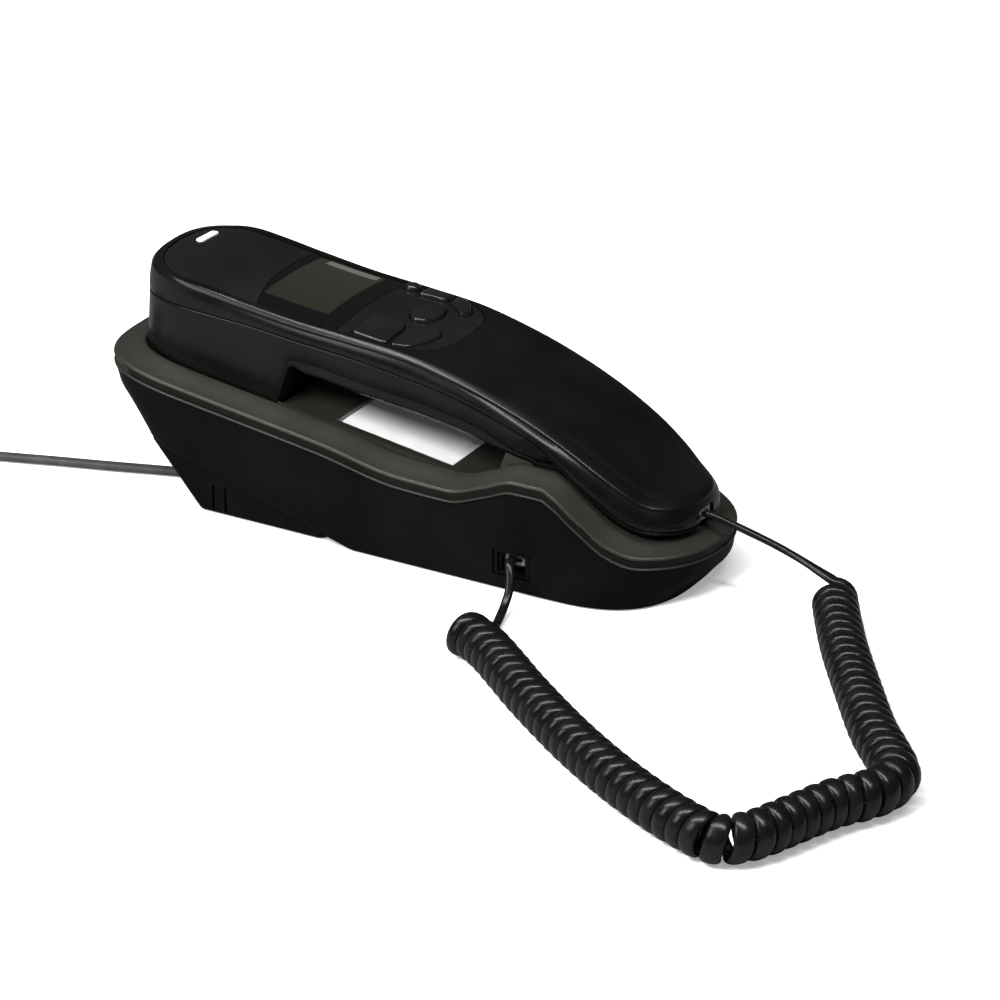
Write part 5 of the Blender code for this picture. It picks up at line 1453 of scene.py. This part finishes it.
        def window(plan: Plan) -> Plan:
            """Opening in the middle of an outline."""
            inner = plan.drawn_in(0.0024)
            return replace(inner, right=window_right, near_right=window_right - 0.007)

        edge = 0.0005
        rows = [foot.drawn_in(edge).level(low), foot.level(raised(low, edge)), top.level(raised(high, -edge)),
                top.drawn_in(edge).level(high), window(top).level(high), window(foot).level(low),
                foot.drawn_in(edge).level(low)]
        bracket = skin("tilt_bracket_wedge", np.array(rows))
        cutters = [
            box("notch", (top_end - OVERRUN, -0.0195, -OVERRUN), (foot_end + 0.0064, -0.0035, 0.0040), 0.0010),
            foot_room("back_foot_room", BACK_FOOT_X, GROUND + 0.0010, 0.0002)]
        latch_x = -0.535 * HALF_LENGTH
        for index, side in enumerate((-1, 1)):
            x = latch_x + side * 0.0023
            cutters.append(box(f"latch_slot_{index}", (x - 0.00045, -self.bracket_half - OVERRUN, GROUND + 0.0009),
                               (x + 0.00045, -self.bracket_half + 0.0012, GROUND + 0.0094)))
        carve(bracket, *cutters)
        dress(bracket, Finish.BASE, "bracket", "tilt_bracket")

    def build_jack(self) -> Vector:
        """Socket frame with its bore and lead recess round the clear plug.

        Returns:
            Back of the plug, where the handset cord starts.
        """
        x, z, near = self.jack_x, self.jack_up, -HALF_WIDTH
        wide, high = self.plug.wide / 2 + FIT, self.plug.high / 2 + FIT
        outer_wide, outer_high = wide + 0.0022, high + 0.0011
        deep = self.plug.long + 0.0030 + 0.0022 + FIT
        frame_piece = box("base_jack_frame", (x - outer_wide, near + FIT, z - outer_high),
                          (x + outer_wide, near + deep, z + outer_high), 0.0004)
        bore = box("jack_bore", (x - wide, near - OVERRUN, z - high),
                   (x + wide, near + deep - 0.0022, z + high), 0.0002)
        lead = box("jack_lead", (x - wide - 0.0009, near - OVERRUN, z - high - 0.0003),
                   (x + wide + 0.0009, near + 0.0016, z + high + 0.0003), 0.0003)
        carve(frame_piece, bore, lead)
        dress(frame_piece, Finish.BASE, "base", "base_jack")
        back = near + 0.0030
        body, blades = self.plug.build("base_plug_clear", Vector((x, back, z)), Vector((0, 1, 0)),
                                       Vector((0, 0, -1)))
        dress(body, Finish.PLUG, "base", "base_plug")
        dress(blades, Finish.BRASS, "base")
        return Vector((x, back, z + 0.0008))

    def build(self) -> Vector:
        """Build the base.

        Returns:
            Back of the handset cord's plug.
        """
        self.build_body()
        self.build_cradle()
        self.build_card()
        self.build_bracket()
        paint_node(Finish.FOOT, "foot_front", "foot_back")
        paint_node(Finish.INNER, "hook_plunger", "hook_switch", "line_jack", "receiver", "microphone",
                   "handset_jack")
        paint_node(Finish.STEEL, "hook_spring", "ballast_plate", "base_screw_ear", "base_screw_mouth",
                   "handset_screw_ear", "handset_screw_mouth")
        paint_node(Finish.BOARD, "base_board", "handset_board")
        paint_node(Finish.BRASS, "ringer")
        paint_node(Finish.KEY, "ringer_knob")
        paint_node(Finish.RIM, "hanger_tab")
        return self.build_jack()


# ---------------------------------------------------------------- handset


def soften(made: bpy.types.Object, width: float) -> bpy.types.Object:
    """Bevel the edges that are sharper than 40 degrees.

    Args:
        made: The mesh object.
        width: Width of the bevel.

    Returns:
        The same object.
    """
    bevel = made.modifiers.new("soft edges", "BEVEL")
    bevel.width = width
    bevel.segments = 2
    bevel.limit_method = "ANGLE"
    bevel.angle_limit = math.radians(40)
    bevel.use_clamp_overlap = True
    pick_only(made)
    bpy.ops.object.modifier_apply(modifier=bevel.name)
    return made


def rounded_plan(points: Sequence[tuple[float, float]], radius: float, steps: int = 5) -> np.ndarray:
    """Closed plan with its corners rounded.

    Args:
        points: Corner points in order.
        radius: How far from a corner the round starts.
        steps: Points in each round.

    Returns:
        The plan's points.
    """
    corners = np.array(points, dtype=float)
    plan = []
    for index, corner in enumerate(corners):
        before, after = corners[index - 1] - corner, corners[(index + 1) % len(corners)] - corner
        reach = min(radius, 0.45 * np.linalg.norm(before), 0.45 * np.linalg.norm(after))
        first = corner + reach * before / np.linalg.norm(before)
        last = corner + reach * after / np.linalg.norm(after)
        for t in np.linspace(0, 1, steps):
            plan.append((1 - t) ** 2 * first + 2 * t * (1 - t) * corner + t * t * last)
    return np.array(plan)


def grown(plan: np.ndarray, amount: float) -> np.ndarray:
    """A convex plan grown outwards by an amount.

    Args:
        plan: The plan's points.
        amount: How far.

    Returns:
        The grown plan.
    """
    plan = np.asarray(plan)
    along = np.roll(plan, -1, 0) - np.roll(plan, 1, 0)
    across = unit(np.stack([along[:, 1], -along[:, 0]], 1))
    area = (plan[:, 0] * np.roll(plan[:, 1], -1) - np.roll(plan[:, 0], -1) * plan[:, 1]).sum()
    return plan + across * amount * (1 if area > 0 else -1)


@dataclass(frozen=True)
class LensGlass:
    """Gloss lens with the display's grey window and its light strip behind it."""

    name: str = "display_lens_window"
    dark: tuple = (0.0034, 0.0034, 0.0036)
    window: tuple = (0.0120, 0.0115, 0.0082)
    far_window: tuple = (0.0190, 0.0185, 0.0152)
    strip: tuple = (0.085, 0.085, 0.070)
    window_x: tuple = (-0.0505, -0.0262)
    window_y: tuple = (-0.0150, 0.0200)
    strip_x: tuple = (-0.0470, -0.0278)
    strip_y: tuple = (0.0162, 0.0202)
    soft: float = 0.0005

    def make(self) -> bpy.types.Material:
        """Build the material."""
        graph = Graph(self.name)
        where = graph.place()
        split = graph.tree.nodes.new("ShaderNodeSeparateXYZ")
        graph.tree.links.new(where.socket, split.inputs[0])
        x, y = Signal(graph, split.outputs["X"]), Signal(graph, split.outputs["Y"])

        def inside(value: Signal, low: float, high: float) -> Signal:
            """Soft mask of a span."""
            return graph.ramp(value, low, low + self.soft) * (1 - graph.ramp(value, high - self.soft, high))

        window = inside(x, *self.window_x) * inside(y, *self.window_y)
        strip = inside(x, *self.strip_x) * inside(y, *self.strip_y)
        cloud = graph.noise(where, 45.0, 2.0)
        pane = graph.blend(graph.ramp(y, -0.012, 0.016) * 0.8 + cloud * 0.2, self.window, self.far_window)
        base = graph.blend(window, self.dark, pane)
        return graph.principled({
            "Base Color": graph.blend(strip, base, self.strip),
            "Roughness": cloud * 0.03 + 0.08,
            "Specular IOR Level": 0.30,
        })


@dataclass
class Handset:
    """Handset lying face down: two shells, inset panel with display and menu keys, number keys below."""

    inner_fillet: float = 0.0022
    crease: tuple = (
        (0.37, 0.00200), (0.395, 0.00165), (0.425, 0.00140), (0.465, 0.00120), (0.520, 0.00103),
        (0.62, 0.00076), (0.74, 0.00046), (0.87, 0.00018), (1.0, 0.0))
    top_wall: float = 0.0034
    ear_in: float = 0.0025
    nose_in: float = 0.0036
    block_fillet: float = 0.0022
    lip_round: float = 0.0007
    kerb_high: float = 0.0020
    panel_left: float = -0.853 * HALF_LENGTH
    panel_right: float = 0.152 * HALF_LENGTH
    panel_round: float = 0.020
    panel_thick: float = 0.0014
    lens_left: float = -0.0537
    lens_right: float = -0.178 * HALF_LENGTH
    key_gap: float = 0.0004
    key_proud: float = 0.0013
    key_deep: float = 0.0044
    round_radius: float = 0.0026
    group_x: float = -0.004 * HALF_LENGTH
    socket_up: float = 0.0234
    plug: Plug = field(default_factory=lambda: Plug(0.0077, 0.0056))
    menu_keys: dict = field(default_factory=lambda: {
        "option_key": ((-0.1294, -0.965), (-0.0063, -1.0), (-0.0063, -0.452), (-0.0334, -0.308),
                       (-0.1294, -0.308)),
        "remove_key": ((0.0063, -1.0), (0.0564, -0.925), (0.0897, -0.637), (0.1044, -0.349),
                       (0.0793, -0.205), (0.0543, -0.349), (0.0063, -0.452)),
        "up_key": ((-0.0960, 0.637), (-0.0334, 0.678), (-0.0063, 0.678), (-0.0063, 0.985),
                   (-0.0960, 0.965)),
        "down_key": ((0.0063, 0.678), (0.0459, 0.565), (0.0835, 0.370), (0.0960, 0.575),
                     (0.0564, 0.890), (0.0063, 0.985))})

    def shoulder(self, step: float, height: Height) -> np.ndarray:
        """Level of the shoulder, from step 0 at the side to 1 at the ridge.

        Args:
            step: The level's share.
            height: Its height.

        Returns:
            The level's points.
        """
        plan = replace(HANDSET_PLAN, left=HANDSET_PLAN.left + step * self.ear_in,
                       right=HANDSET_PLAN.right - step * self.nose_in)
        points = plan.level(height)
        points[:, 1] *= 1 - step * (1 - RIDGE_HALF(points[:, 0]))
        return points

    def panel_half(self, x: np.ndarray) -> np.ndarray:
        """Half width of the inset panel at each x."""
        reach = np.maximum(0, np.maximum(self.panel_left + self.panel_round - x,
                                         x - self.panel_right + self.panel_round)) / self.panel_round
        return PANEL_HALF * np.maximum(0.0, 1 - np.minimum(1, reach) ** 2.5) ** (1 / 2.5)

    def panel_plan(self, grow: float) -> np.ndarray:
        """Plan of the inset panel, grown by a gap."""
        plan = Plan(self.panel_left, self.panel_left + self.panel_round, self.panel_right - self.panel_round,
                    self.panel_right, PANEL_HALF, 2.5, 2.5, 18, 40).drawn_in(-grow)
        return plan.loop()[:-1]

    def build_back(self) -> None:
        """Outer shell with a crowned back, a tight ridge and the panel's recess."""
        lip = raised(SEAM, FIT / 2)
        inner = HANDSET_PLAN.drawn_in(WALL)
        crown_plan = HANDSET_PLAN.drawn_in(HANDSET_PLAN.half - PANEL_HALF * 0.55)

        def inner_corner(x: np.ndarray, y: np.ndarray) -> np.ndarray:
            """Height where the inner wall turns into the ceiling."""
            return np.maximum(SEAM(x) + FIT, RIDGE(x) - self.top_wall - self.inner_fillet)

        loft = Loft()
        loft.close(crown_plan, raised(RIDGE, -self.top_wall), 3)
        loft.ring(inner, inner_corner)
        loft.ring(inner, lip)
        for inset, lift in ((0.0004, 0.0), (0.0001, 0.0001), (0.0, 0.0004)):
            loft.ring(HANDSET_PLAN.drawn_in(inset), lip, lift)
        (first_step, first_drop), *_ = self.crease
        low, knee = raised(lip, 0.0004), raised(back_surface, -first_drop)
        for share in (0.22, 0.44, 0.62, 0.76, 0.87, 0.95):
            loft.rows.append(self.shoulder(first_step * share ** 2.2, between(low, knee, share)))
        for step, drop in self.crease:
            loft.rows.append(self.shoulder(step, raised(back_surface, -drop)))
        top, crown = loft.rows[-1], crown_plan.level(back_surface)
        for share in (0.15, 0.3, 0.45, 0.6, 0.8):
            row = top + (crown - top) * share
            row[:, 2] = back_surface(row[:, 0], row[:, 1])
            loft.rows.append(row)
        loft.close(crown_plan, back_surface, 8)
        shell = loft.skin("handset_back_shell")
        room = prism("panel_room", self.panel_plan(FIT), raised(back_surface, -PANEL_SINK),
                     raised(back_surface, OVERRUN))
        carve(shell, room, self.display_room(), self.socket_room(), *self.key_rooms(-0.0075), self.lamp_room())
        dress(shell, Finish.HANDSET, "handset", "handset_back")

    def display_room(self) -> bpy.types.Object:
        """Cutter that lets the display module through the shell."""
        reach = 0.0145
        top = at(RIDGE, DISPLAY_X) - PANEL_SINK - FIT
        room = box("display_room", (-0.0149, -0.0187, -0.0075), (0.0149, 0.0187, OVERRUN))
        tilt = math.atan2(at(RIDGE, DISPLAY_X - reach) - at(RIDGE, DISPLAY_X + reach), 2 * reach)
        room.data.transform(Matrix.Translation((DISPLAY_X, 0, top)) @ Matrix.Rotation(tilt, 4, "Y"))
        return room

    def socket_room(self) -> bpy.types.Object:
        """Cutter for the cord's socket in the nose."""
        end = HANDSET_PLAN.right
        return box("socket_room", (end - 0.0127, -0.00445, self.socket_up - 0.0034),
                   (end + OVERRUN, 0.00445, self.socket_up + 0.0034), 0.0008)

    def menu_plans(self) -> dict[str, np.ndarray]:
        """Rounded plans of the menu keys, the dial key and the round key."""
        plans = {}
        for name, shares in self.menu_keys.items():
            corners = [(self.group_x + u * HALF_LENGTH, v * PANEL_HALF) for u, v in shares]
            plans[name] = rounded_plan(corners, 0.0016)
        spin = np.linspace(0, 2 * math.pi, 41)[:-1]
        for name, x, y, long, wide in (
                ("dial_key", self.group_x, 0.134 * PANEL_HALF, 0.0438 * HALF_LENGTH, 0.349 * PANEL_HALF),
                ("round_key", -0.141 * HALF_LENGTH, 0.830 * PANEL_HALF, self.round_radius, self.round_radius)):
            plans[name] = np.stack([x + long * np.cos(spin), y + wide * np.sin(spin)], 1)
        return plans

    def key_rooms(self, low: float) -> list[bpy.types.Object]:
        """Cutters for the menu keys.

        Args:
            low: How far below the panel's surface they go.

        Returns:
            The cutters.
        """
        return [prism(name + "_room", grown(plan, self.key_gap), raised(back_surface, low),
                      raised(back_surface, OVERRUN)) for name, plan in self.menu_plans().items()]

    def lamp_plan(self, grow: float) -> np.ndarray:
        """Plan of the message lamp."""
        x, y = self.panel_left + 0.0060, 0.30 * PANEL_HALF
        return rounded_plan(rectangle(x, y, 0.0014 + grow, 0.00525 + grow), 0.0010)

    def lamp_room(self) -> bpy.types.Object:
        """Cutter for the message lamp."""
        return prism("lamp_room", self.lamp_plan(0.0002), raised(back_surface, -0.0060),
                     raised(back_surface, OVERRUN))

    def build_front(self) -> None:
        """Inner shell with its two blocks and the holes for keys, sound and screws."""
        lip = raised(SEAM, -FIT / 2)

        def block_top(x: np.ndarray, y: np.ndarray) -> np.ndarray:
            """Height where the blocks end and the sides start to widen."""
            return np.maximum(UNDER(x) + self.block_fillet, RIM(x) + 1.5 * FLANGE_RISE) + FIT

        def kerb(x: np.ndarray, y: np.ndarray) -> np.ndarray:
            """Height of the kerb that protects the number keys."""
            share = np.clip(np.minimum((x - KERB_SPAN[0]) / 0.006, (KERB_SPAN[1] - x) / 0.012), 0, 1)
            return UNDER(x) - self.kerb_high * eased(share)

        loft = Loft()
        loft.close(BLOCK_FOOT.drawn_in(self.block_fillet + 0.0029), UNDER, 6)
        for inset, share in ((0.0023, 0.15), (0.0011, 0.9), (0.0, 1.0)):
            loft.ring(BLOCK_FOOT.drawn_in(self.block_fillet + inset), between(UNDER, kerb, share))
        loft.fillet(BLOCK_FOOT, kerb, self.block_fillet, self.block_fillet, 6)
        low, high = raised(kerb, self.block_fillet), raised(lip, -self.lip_round)
        loft.pass_over(BLOCK_FOOT, BLOCK_PLAN, low, block_top, (0.33, 0.66, 1.0))
        loft.pass_over(BLOCK_PLAN, HANDSET_PLAN, block_top, high, [
            (share, share ** 1.25) for share in (0.12, 0.3, 0.55, 0.8, 1.0)])
        loft.fillet(HANDSET_PLAN, lip, self.lip_round, -self.lip_round, 4, narrowing=True)
        loft.ring(HANDSET_PLAN.drawn_in(WALL), lip)
        loft.ring(BLOCK_PLAN.drawn_in(WALL), block_top)
        loft.ring(BLOCK_FOOT.drawn_in(WALL), UNDER, WALL + self.block_fillet * 0.3)
        loft.close(BLOCK_FOOT.drawn_in(WALL * 1.5), raised(UNDER, WALL), 4)
        shell = loft.skin("handset_front_shell")
        carve(shell, self.socket_room(), *self.face_rooms())
        dress(shell, Finish.HANDSET, "handset", "handset_front")

    def face_key_places(self) -> dict[str, tuple[float, float, float, float]]:
        """Place, length and width of each key in the inner face."""
        places = {}
        names = (("number_key_1", "number_key_2", "number_key_3"), ("number_key_4", "number_key_5", "number_key_6"),
                 ("number_key_7", "number_key_8", "number_key_9"), ("star_key", "number_key_0", "pound_key"))
        first = -0.222 * HALF_LENGTH
        for row, line in enumerate(names):
            for column, name in enumerate(line):
                places[name] = (first + row * 0.0118, (1 - column) * 0.377 * HALF_WIDTH, 0.0070, 0.269 * HALF_WIDTH)
        for name, side in (("flash_key", -1), ("redial_key", 1)):
            places[name] = (first + 4 * 0.0118, side * 0.243 * HALF_WIDTH, 0.0050, 0.314 * HALF_WIDTH)
        return places

    def face_rooms(self) -> list[bpy.types.Object]:
        """Cutters for the number keys, the sound holes and the screws."""
        rooms = []
        gap, holes = 0.00032, 6
        for name, (x, y, long, wide) in self.face_key_places().items():
            corners = rectangle(x, y, long / 2 + gap, wide / 2 + gap)
            rooms.append(prism(name + "_room", rounded_plan(corners, 0.0019, 4), raised(UNDER, -OVERRUN),
                               raised(UNDER, 0.0052)))
        for x, y, spread in ((-0.60 * HALF_LENGTH, 0.0, 0.0060), (0.735 * HALF_LENGTH, -0.011, 0.0024)):
            floor = at(UNDER, x)
            spots = [(x, y)] + [(x + spread * math.cos(2 * math.pi * i / holes),
                                 y + spread * math.sin(2 * math.pi * i / holes)) for i in range(holes)]
            rooms += [drill("sound_room", 0.0010, -OVERRUN, 0.0035, (u, v, floor), 12) for u, v in spots]
        rooms += [screw_room(x, at(UNDER, x), 0.006) for x in (-0.762 * HALF_LENGTH, 0.640 * HALF_LENGTH)]
        return rooms

    def plate(self, name: str, left: Callable, right: Callable, *rooms: bpy.types.Object) -> bpy.types.Object:
        """One of the three inset plates, which follow the crowned back.

        Args:
            name: Its name.
            left: Place of its left edge at a share across the panel.
            right: Place of its right edge at a share across the panel.
            rooms: Cutters.

        Returns:
            The plate.
        """
        across = np.linspace(-1, 1, 33)
        low_rows, top_rows = [], []
        for share in np.linspace(0, 1, 61):
            x = (1 - share) * left(across) + share * right(across)
            y = across * self.panel_half(x)
            seat = back_surface(x, y) - PANEL_SINK
            top_rows.append(np.stack([x, y, seat + self.panel_thick], 1))
            low_rows.append(np.stack([x, y, seat + FIT / 2], 1))
        rows = [np.concatenate([low, low[::-1], low[:1]]) for low in low_rows[:1]]
        for low, top in zip(low_rows, top_rows):
            rows.append(np.concatenate([low, top[::-1], low[:1]]))
        rows.append(np.concatenate([low_rows[-1], low_rows[-1][::-1], low_rows[-1][:1]]))
        made = skin(name, np.array(rows))
        carve(made, *rooms)
        return soften(made, 0.00022)

    def build_panel(self) -> None:
        """Ear plate, display lens and key plate."""
        def lens_edge(offset: float) -> Callable:
            """The lens's bowed left edge, moved by an offset."""
            return lambda across: (self.lens_left + offset
                                   + 8.0 * np.maximum(0.0, 0.004 - across * PANEL_HALF) ** 2)

        def straight(x: float) -> Callable:
            """A straight edge at x."""
            return lambda across: np.full_like(across, x)

        ear = self.plate("ear_panel_plate", straight(self.panel_left), lens_edge(-0.0002), self.lamp_room())
        dress(ear, Finish.PANEL, "handset", "ear_panel")
        lens = self.plate("display_lens_pane", lens_edge(0), straight(self.lens_right))
        dress(lens, Finish.LENS, "handset", "display_lens")
        cover(lens, LensGlass().make())
        keys = self.plate("key_panel_plate", straight(self.lens_right + 0.0002), straight(self.panel_right),
                          *self.key_rooms(-0.004))
        dress(keys, Finish.PANEL, "handset", "key_panel")
        lamp = prism("indicator_bar", self.lamp_plan(-0.0001), raised(back_surface, -0.0034),
                     raised(back_surface, 0.0002), 0.0003)
        dress(lamp, Finish.LAMP, "handset", "indicator_lens")
        paint_node(Finish.SCREEN, "display_module")

    def build_menu_keys(self) -> None:
        """Menu keys with rounded top edges, and the domed round key."""
        surface = self.panel_thick - PANEL_SINK
        for name, plan in self.menu_plans().items():
            proud = self.key_proud if plan.mean(0)[1] > 0 else self.key_proud * 0.65
            if name == "round_key":
                middle, radius, step = plan.mean(0), self.round_radius, 0.0006
                height = at(back_surface, *middle) + surface
                profile = [(0, -self.key_deep), (radius, -self.key_deep), (radius, step)]
                profile += [(radius * math.cos(a), step + 0.0016 * math.sin(a))
                            for a in np.linspace(0.15, math.pi / 2, 8)]
                key = turned(name + "_cap", profile, (*middle, height), sides=40)
            else:
                key = prism(name + "_cap", plan, raised(back_surface, surface - self.key_deep),
                            raised(back_surface, surface + proud), proud * 0.85)
            dress(key, Finish.KEY, name + "_body", name, angle=50)

    def build_socket(self) -> Vector:
        """Socket in the nose with the cord's clear plug.

        Returns:
            Back of the plug, where the cord ends.
        """
        place = Vector((HANDSET_PLAN.right - WALL / 2, 0, self.socket_up))
        body, blades = self.plug.build("handset_plug_clear", place, Vector((-1, 0, 0)), Vector((0, 0, -1)))
        dress(body, Finish.PLUG, "handset", "handset_plug")
        dress(blades, Finish.BRASS, "handset")
        return place + Vector((0, 0, 0.0008))

    def build(self) -> Vector:
        """Build the handset.

        Returns:
            Back of the handset cord's plug.
        """
        self.build_back()
        self.build_front()
        self.build_panel()
        self.build_menu_keys()
        paint_node(Finish.KEY, *self.face_key_places())
        return self.build_socket()


# ---------------------------------------------------------------- studio


@dataclass
class Studio:
    """Camera at the photograph's angle, soft lamps, a pale floor and a white surround."""

    azimuth: float = math.radians(30)
    elevation: float = math.radians(25)
    distance: float = 1.6
    focal: float = 4992.0
    aside: float = 0.02099
    upward: float = 0.005449
    along: float = 0.0032
    floor_colour: float = 0.86
    ambient: float = 0.42
    mirrored: float = 0.048
    floor_mirrored: float = 0.17

    def place_camera(self) -> None:
        """Set the camera."""
        right = Vector((math.cos(self.azimuth), math.sin(self.azimuth), 0))
        back = Vector((math.sin(self.azimuth) * math.cos(self.elevation),
                       -math.cos(self.azimuth) * math.cos(self.elevation), math.sin(self.elevation)))
        up = back.cross(right)
        data = bpy.data.cameras.new("photo_camera")
        data.angle = 2 * math.atan(500 / self.focal)
        camera = bpy.data.objects.new("photo_camera", data)
        bpy.context.scene.collection.objects.link(camera)
        turn = Matrix((right, up, back)).transposed().to_4x4()
        turn.translation = back * self.distance + right * self.aside + up * self.upward + Vector((self.along, 0, 0))
        camera.matrix_world = turn
        bpy.context.scene.camera = camera

    def add_lamp(self, name: str, place: Sequence[float], aim: Sequence[float], size: tuple[float, float],
                 power: float, mirrored: bool = True, lights: bool = True) -> None:
        """Add a soft lamp.

        Args:
            name: Its name.
            place: Where it stands.
            aim: Where it points.
            size: Its width and height.
            power: Its power in watts.
            mirrored: Whether glossy surfaces show it.
            lights: Whether it lights matt surfaces.
        """
        data = bpy.data.lights.new(name, "AREA")
        data.shape = "RECTANGLE"
        data.size, data.size_y = size
        data.energy = power
        lamp = bpy.data.objects.new(name, data)
        bpy.context.scene.collection.objects.link(lamp)
        lamp.location = place
        lamp.visible_glossy = mirrored
        lamp.visible_diffuse = lights
        lamp.rotation_euler = (Vector(aim) - Vector(place)).to_track_quat("-Z", "Y").to_euler()

    def build_floor(self) -> None:
        """Pale floor that reads as white to the camera and keeps the shadow."""
        bpy.ops.object.select_all(action="DESELECT")
        bpy.ops.mesh.primitive_grid_add(x_subdivisions=8, y_subdivisions=8, size=24.0, location=(0, 0, -0.0002))
        floor = bpy.context.object
        floor.name = "studio_floor"
        bpy.ops.object.transform_apply(location=True, rotation=True, scale=True)
        graph = Graph("studio_floor_white")
        path = graph.node("ShaderNodeLightPath", out="Is Camera Ray")
        base = graph.node("ShaderNodeBsdfDiffuse", {}, {"Color": (*[self.floor_colour] * 3, 1.0)})
        glow = graph.node("ShaderNodeEmission", {}, {"Color": (1, 1, 1, 1), "Strength": path * 0.30})
        both = graph.node("ShaderNodeAddShader", {}, {0: base, 1: glow})
        glossy = graph.node("ShaderNodeLightPath", out="Is Glossy Ray")
        dim = graph.node("ShaderNodeBsdfDiffuse", {}, {"Color": (*[self.floor_mirrored] * 3, 1.0)})
        shader = graph.node("ShaderNodeMixShader", {}, {0: glossy, 1: both, 2: dim})
        floor.data.materials.append(graph.finish(shader))

    def build_world(self) -> None:
        """Even grey light for the object, white for the camera and through clear pieces."""
        world = bpy.data.worlds.new("studio_world")
        bpy.context.scene.world = world
        world.use_nodes = True
        tree = world.node_tree
        tree.nodes.clear()
        path = tree.nodes.new("ShaderNodeLightPath")
        output = tree.nodes.new("ShaderNodeOutputWorld")
        seen = tree.nodes.new("ShaderNodeMath")
        seen.operation = "MAXIMUM"
        tree.links.new(path.outputs["Is Camera Ray"], seen.inputs[0])
        tree.links.new(path.outputs["Is Transmission Ray"], seen.inputs[1])
        mirrored = tree.nodes.new("ShaderNodeMix")
        tree.links.new(path.outputs["Is Glossy Ray"], mirrored.inputs[0])
        mirrored.inputs[2].default_value = self.ambient
        mirrored.inputs[3].default_value = self.mirrored
        level = tree.nodes.new("ShaderNodeMix")
        tree.links.new(seen.outputs[0], level.inputs[0])
        tree.links.new(mirrored.outputs[0], level.inputs[2])
        level.inputs[3].default_value = 1.0
        shade = tree.nodes.new("ShaderNodeBackground")
        tree.links.new(level.outputs[0], shade.inputs["Strength"])
        tree.links.new(shade.outputs[0], output.inputs["Surface"])

    def build(self) -> None:
        """Build the studio."""
        bpy.context.scene.view_settings.view_transform = "Standard"
        self.place_camera()
        self.build_world()
        self.build_floor()
        self.add_lamp("lamp_near", (-0.15, -0.80, 0.85), (0.03, -0.03, 0), (0.6, 0.4), 22.0, False)
        self.add_lamp("lamp_top", (-0.15, -0.16, 1.24), (-0.15, 0, 0), (1.9, 0.13), 18.0)
        self.add_lamp("lamp_left", (-0.80, -0.93, 1.02), (-0.12, -0.03, 0.05), (0.55, 0.75), 7.0, lights=False)
        LOG.info("studio ready")


def main() -> None:
    """Build the telephone's visible pieces in order."""
    logging.basicConfig(level=logging.INFO, format="%(message)s")
    Studio().build()
    base_exit = Base().build()
    handset_exit = Handset().build()
    CurlyCord().build(base_exit, handset_exit)
    LineCord().build()


if __name__ == "__main__":
    main()
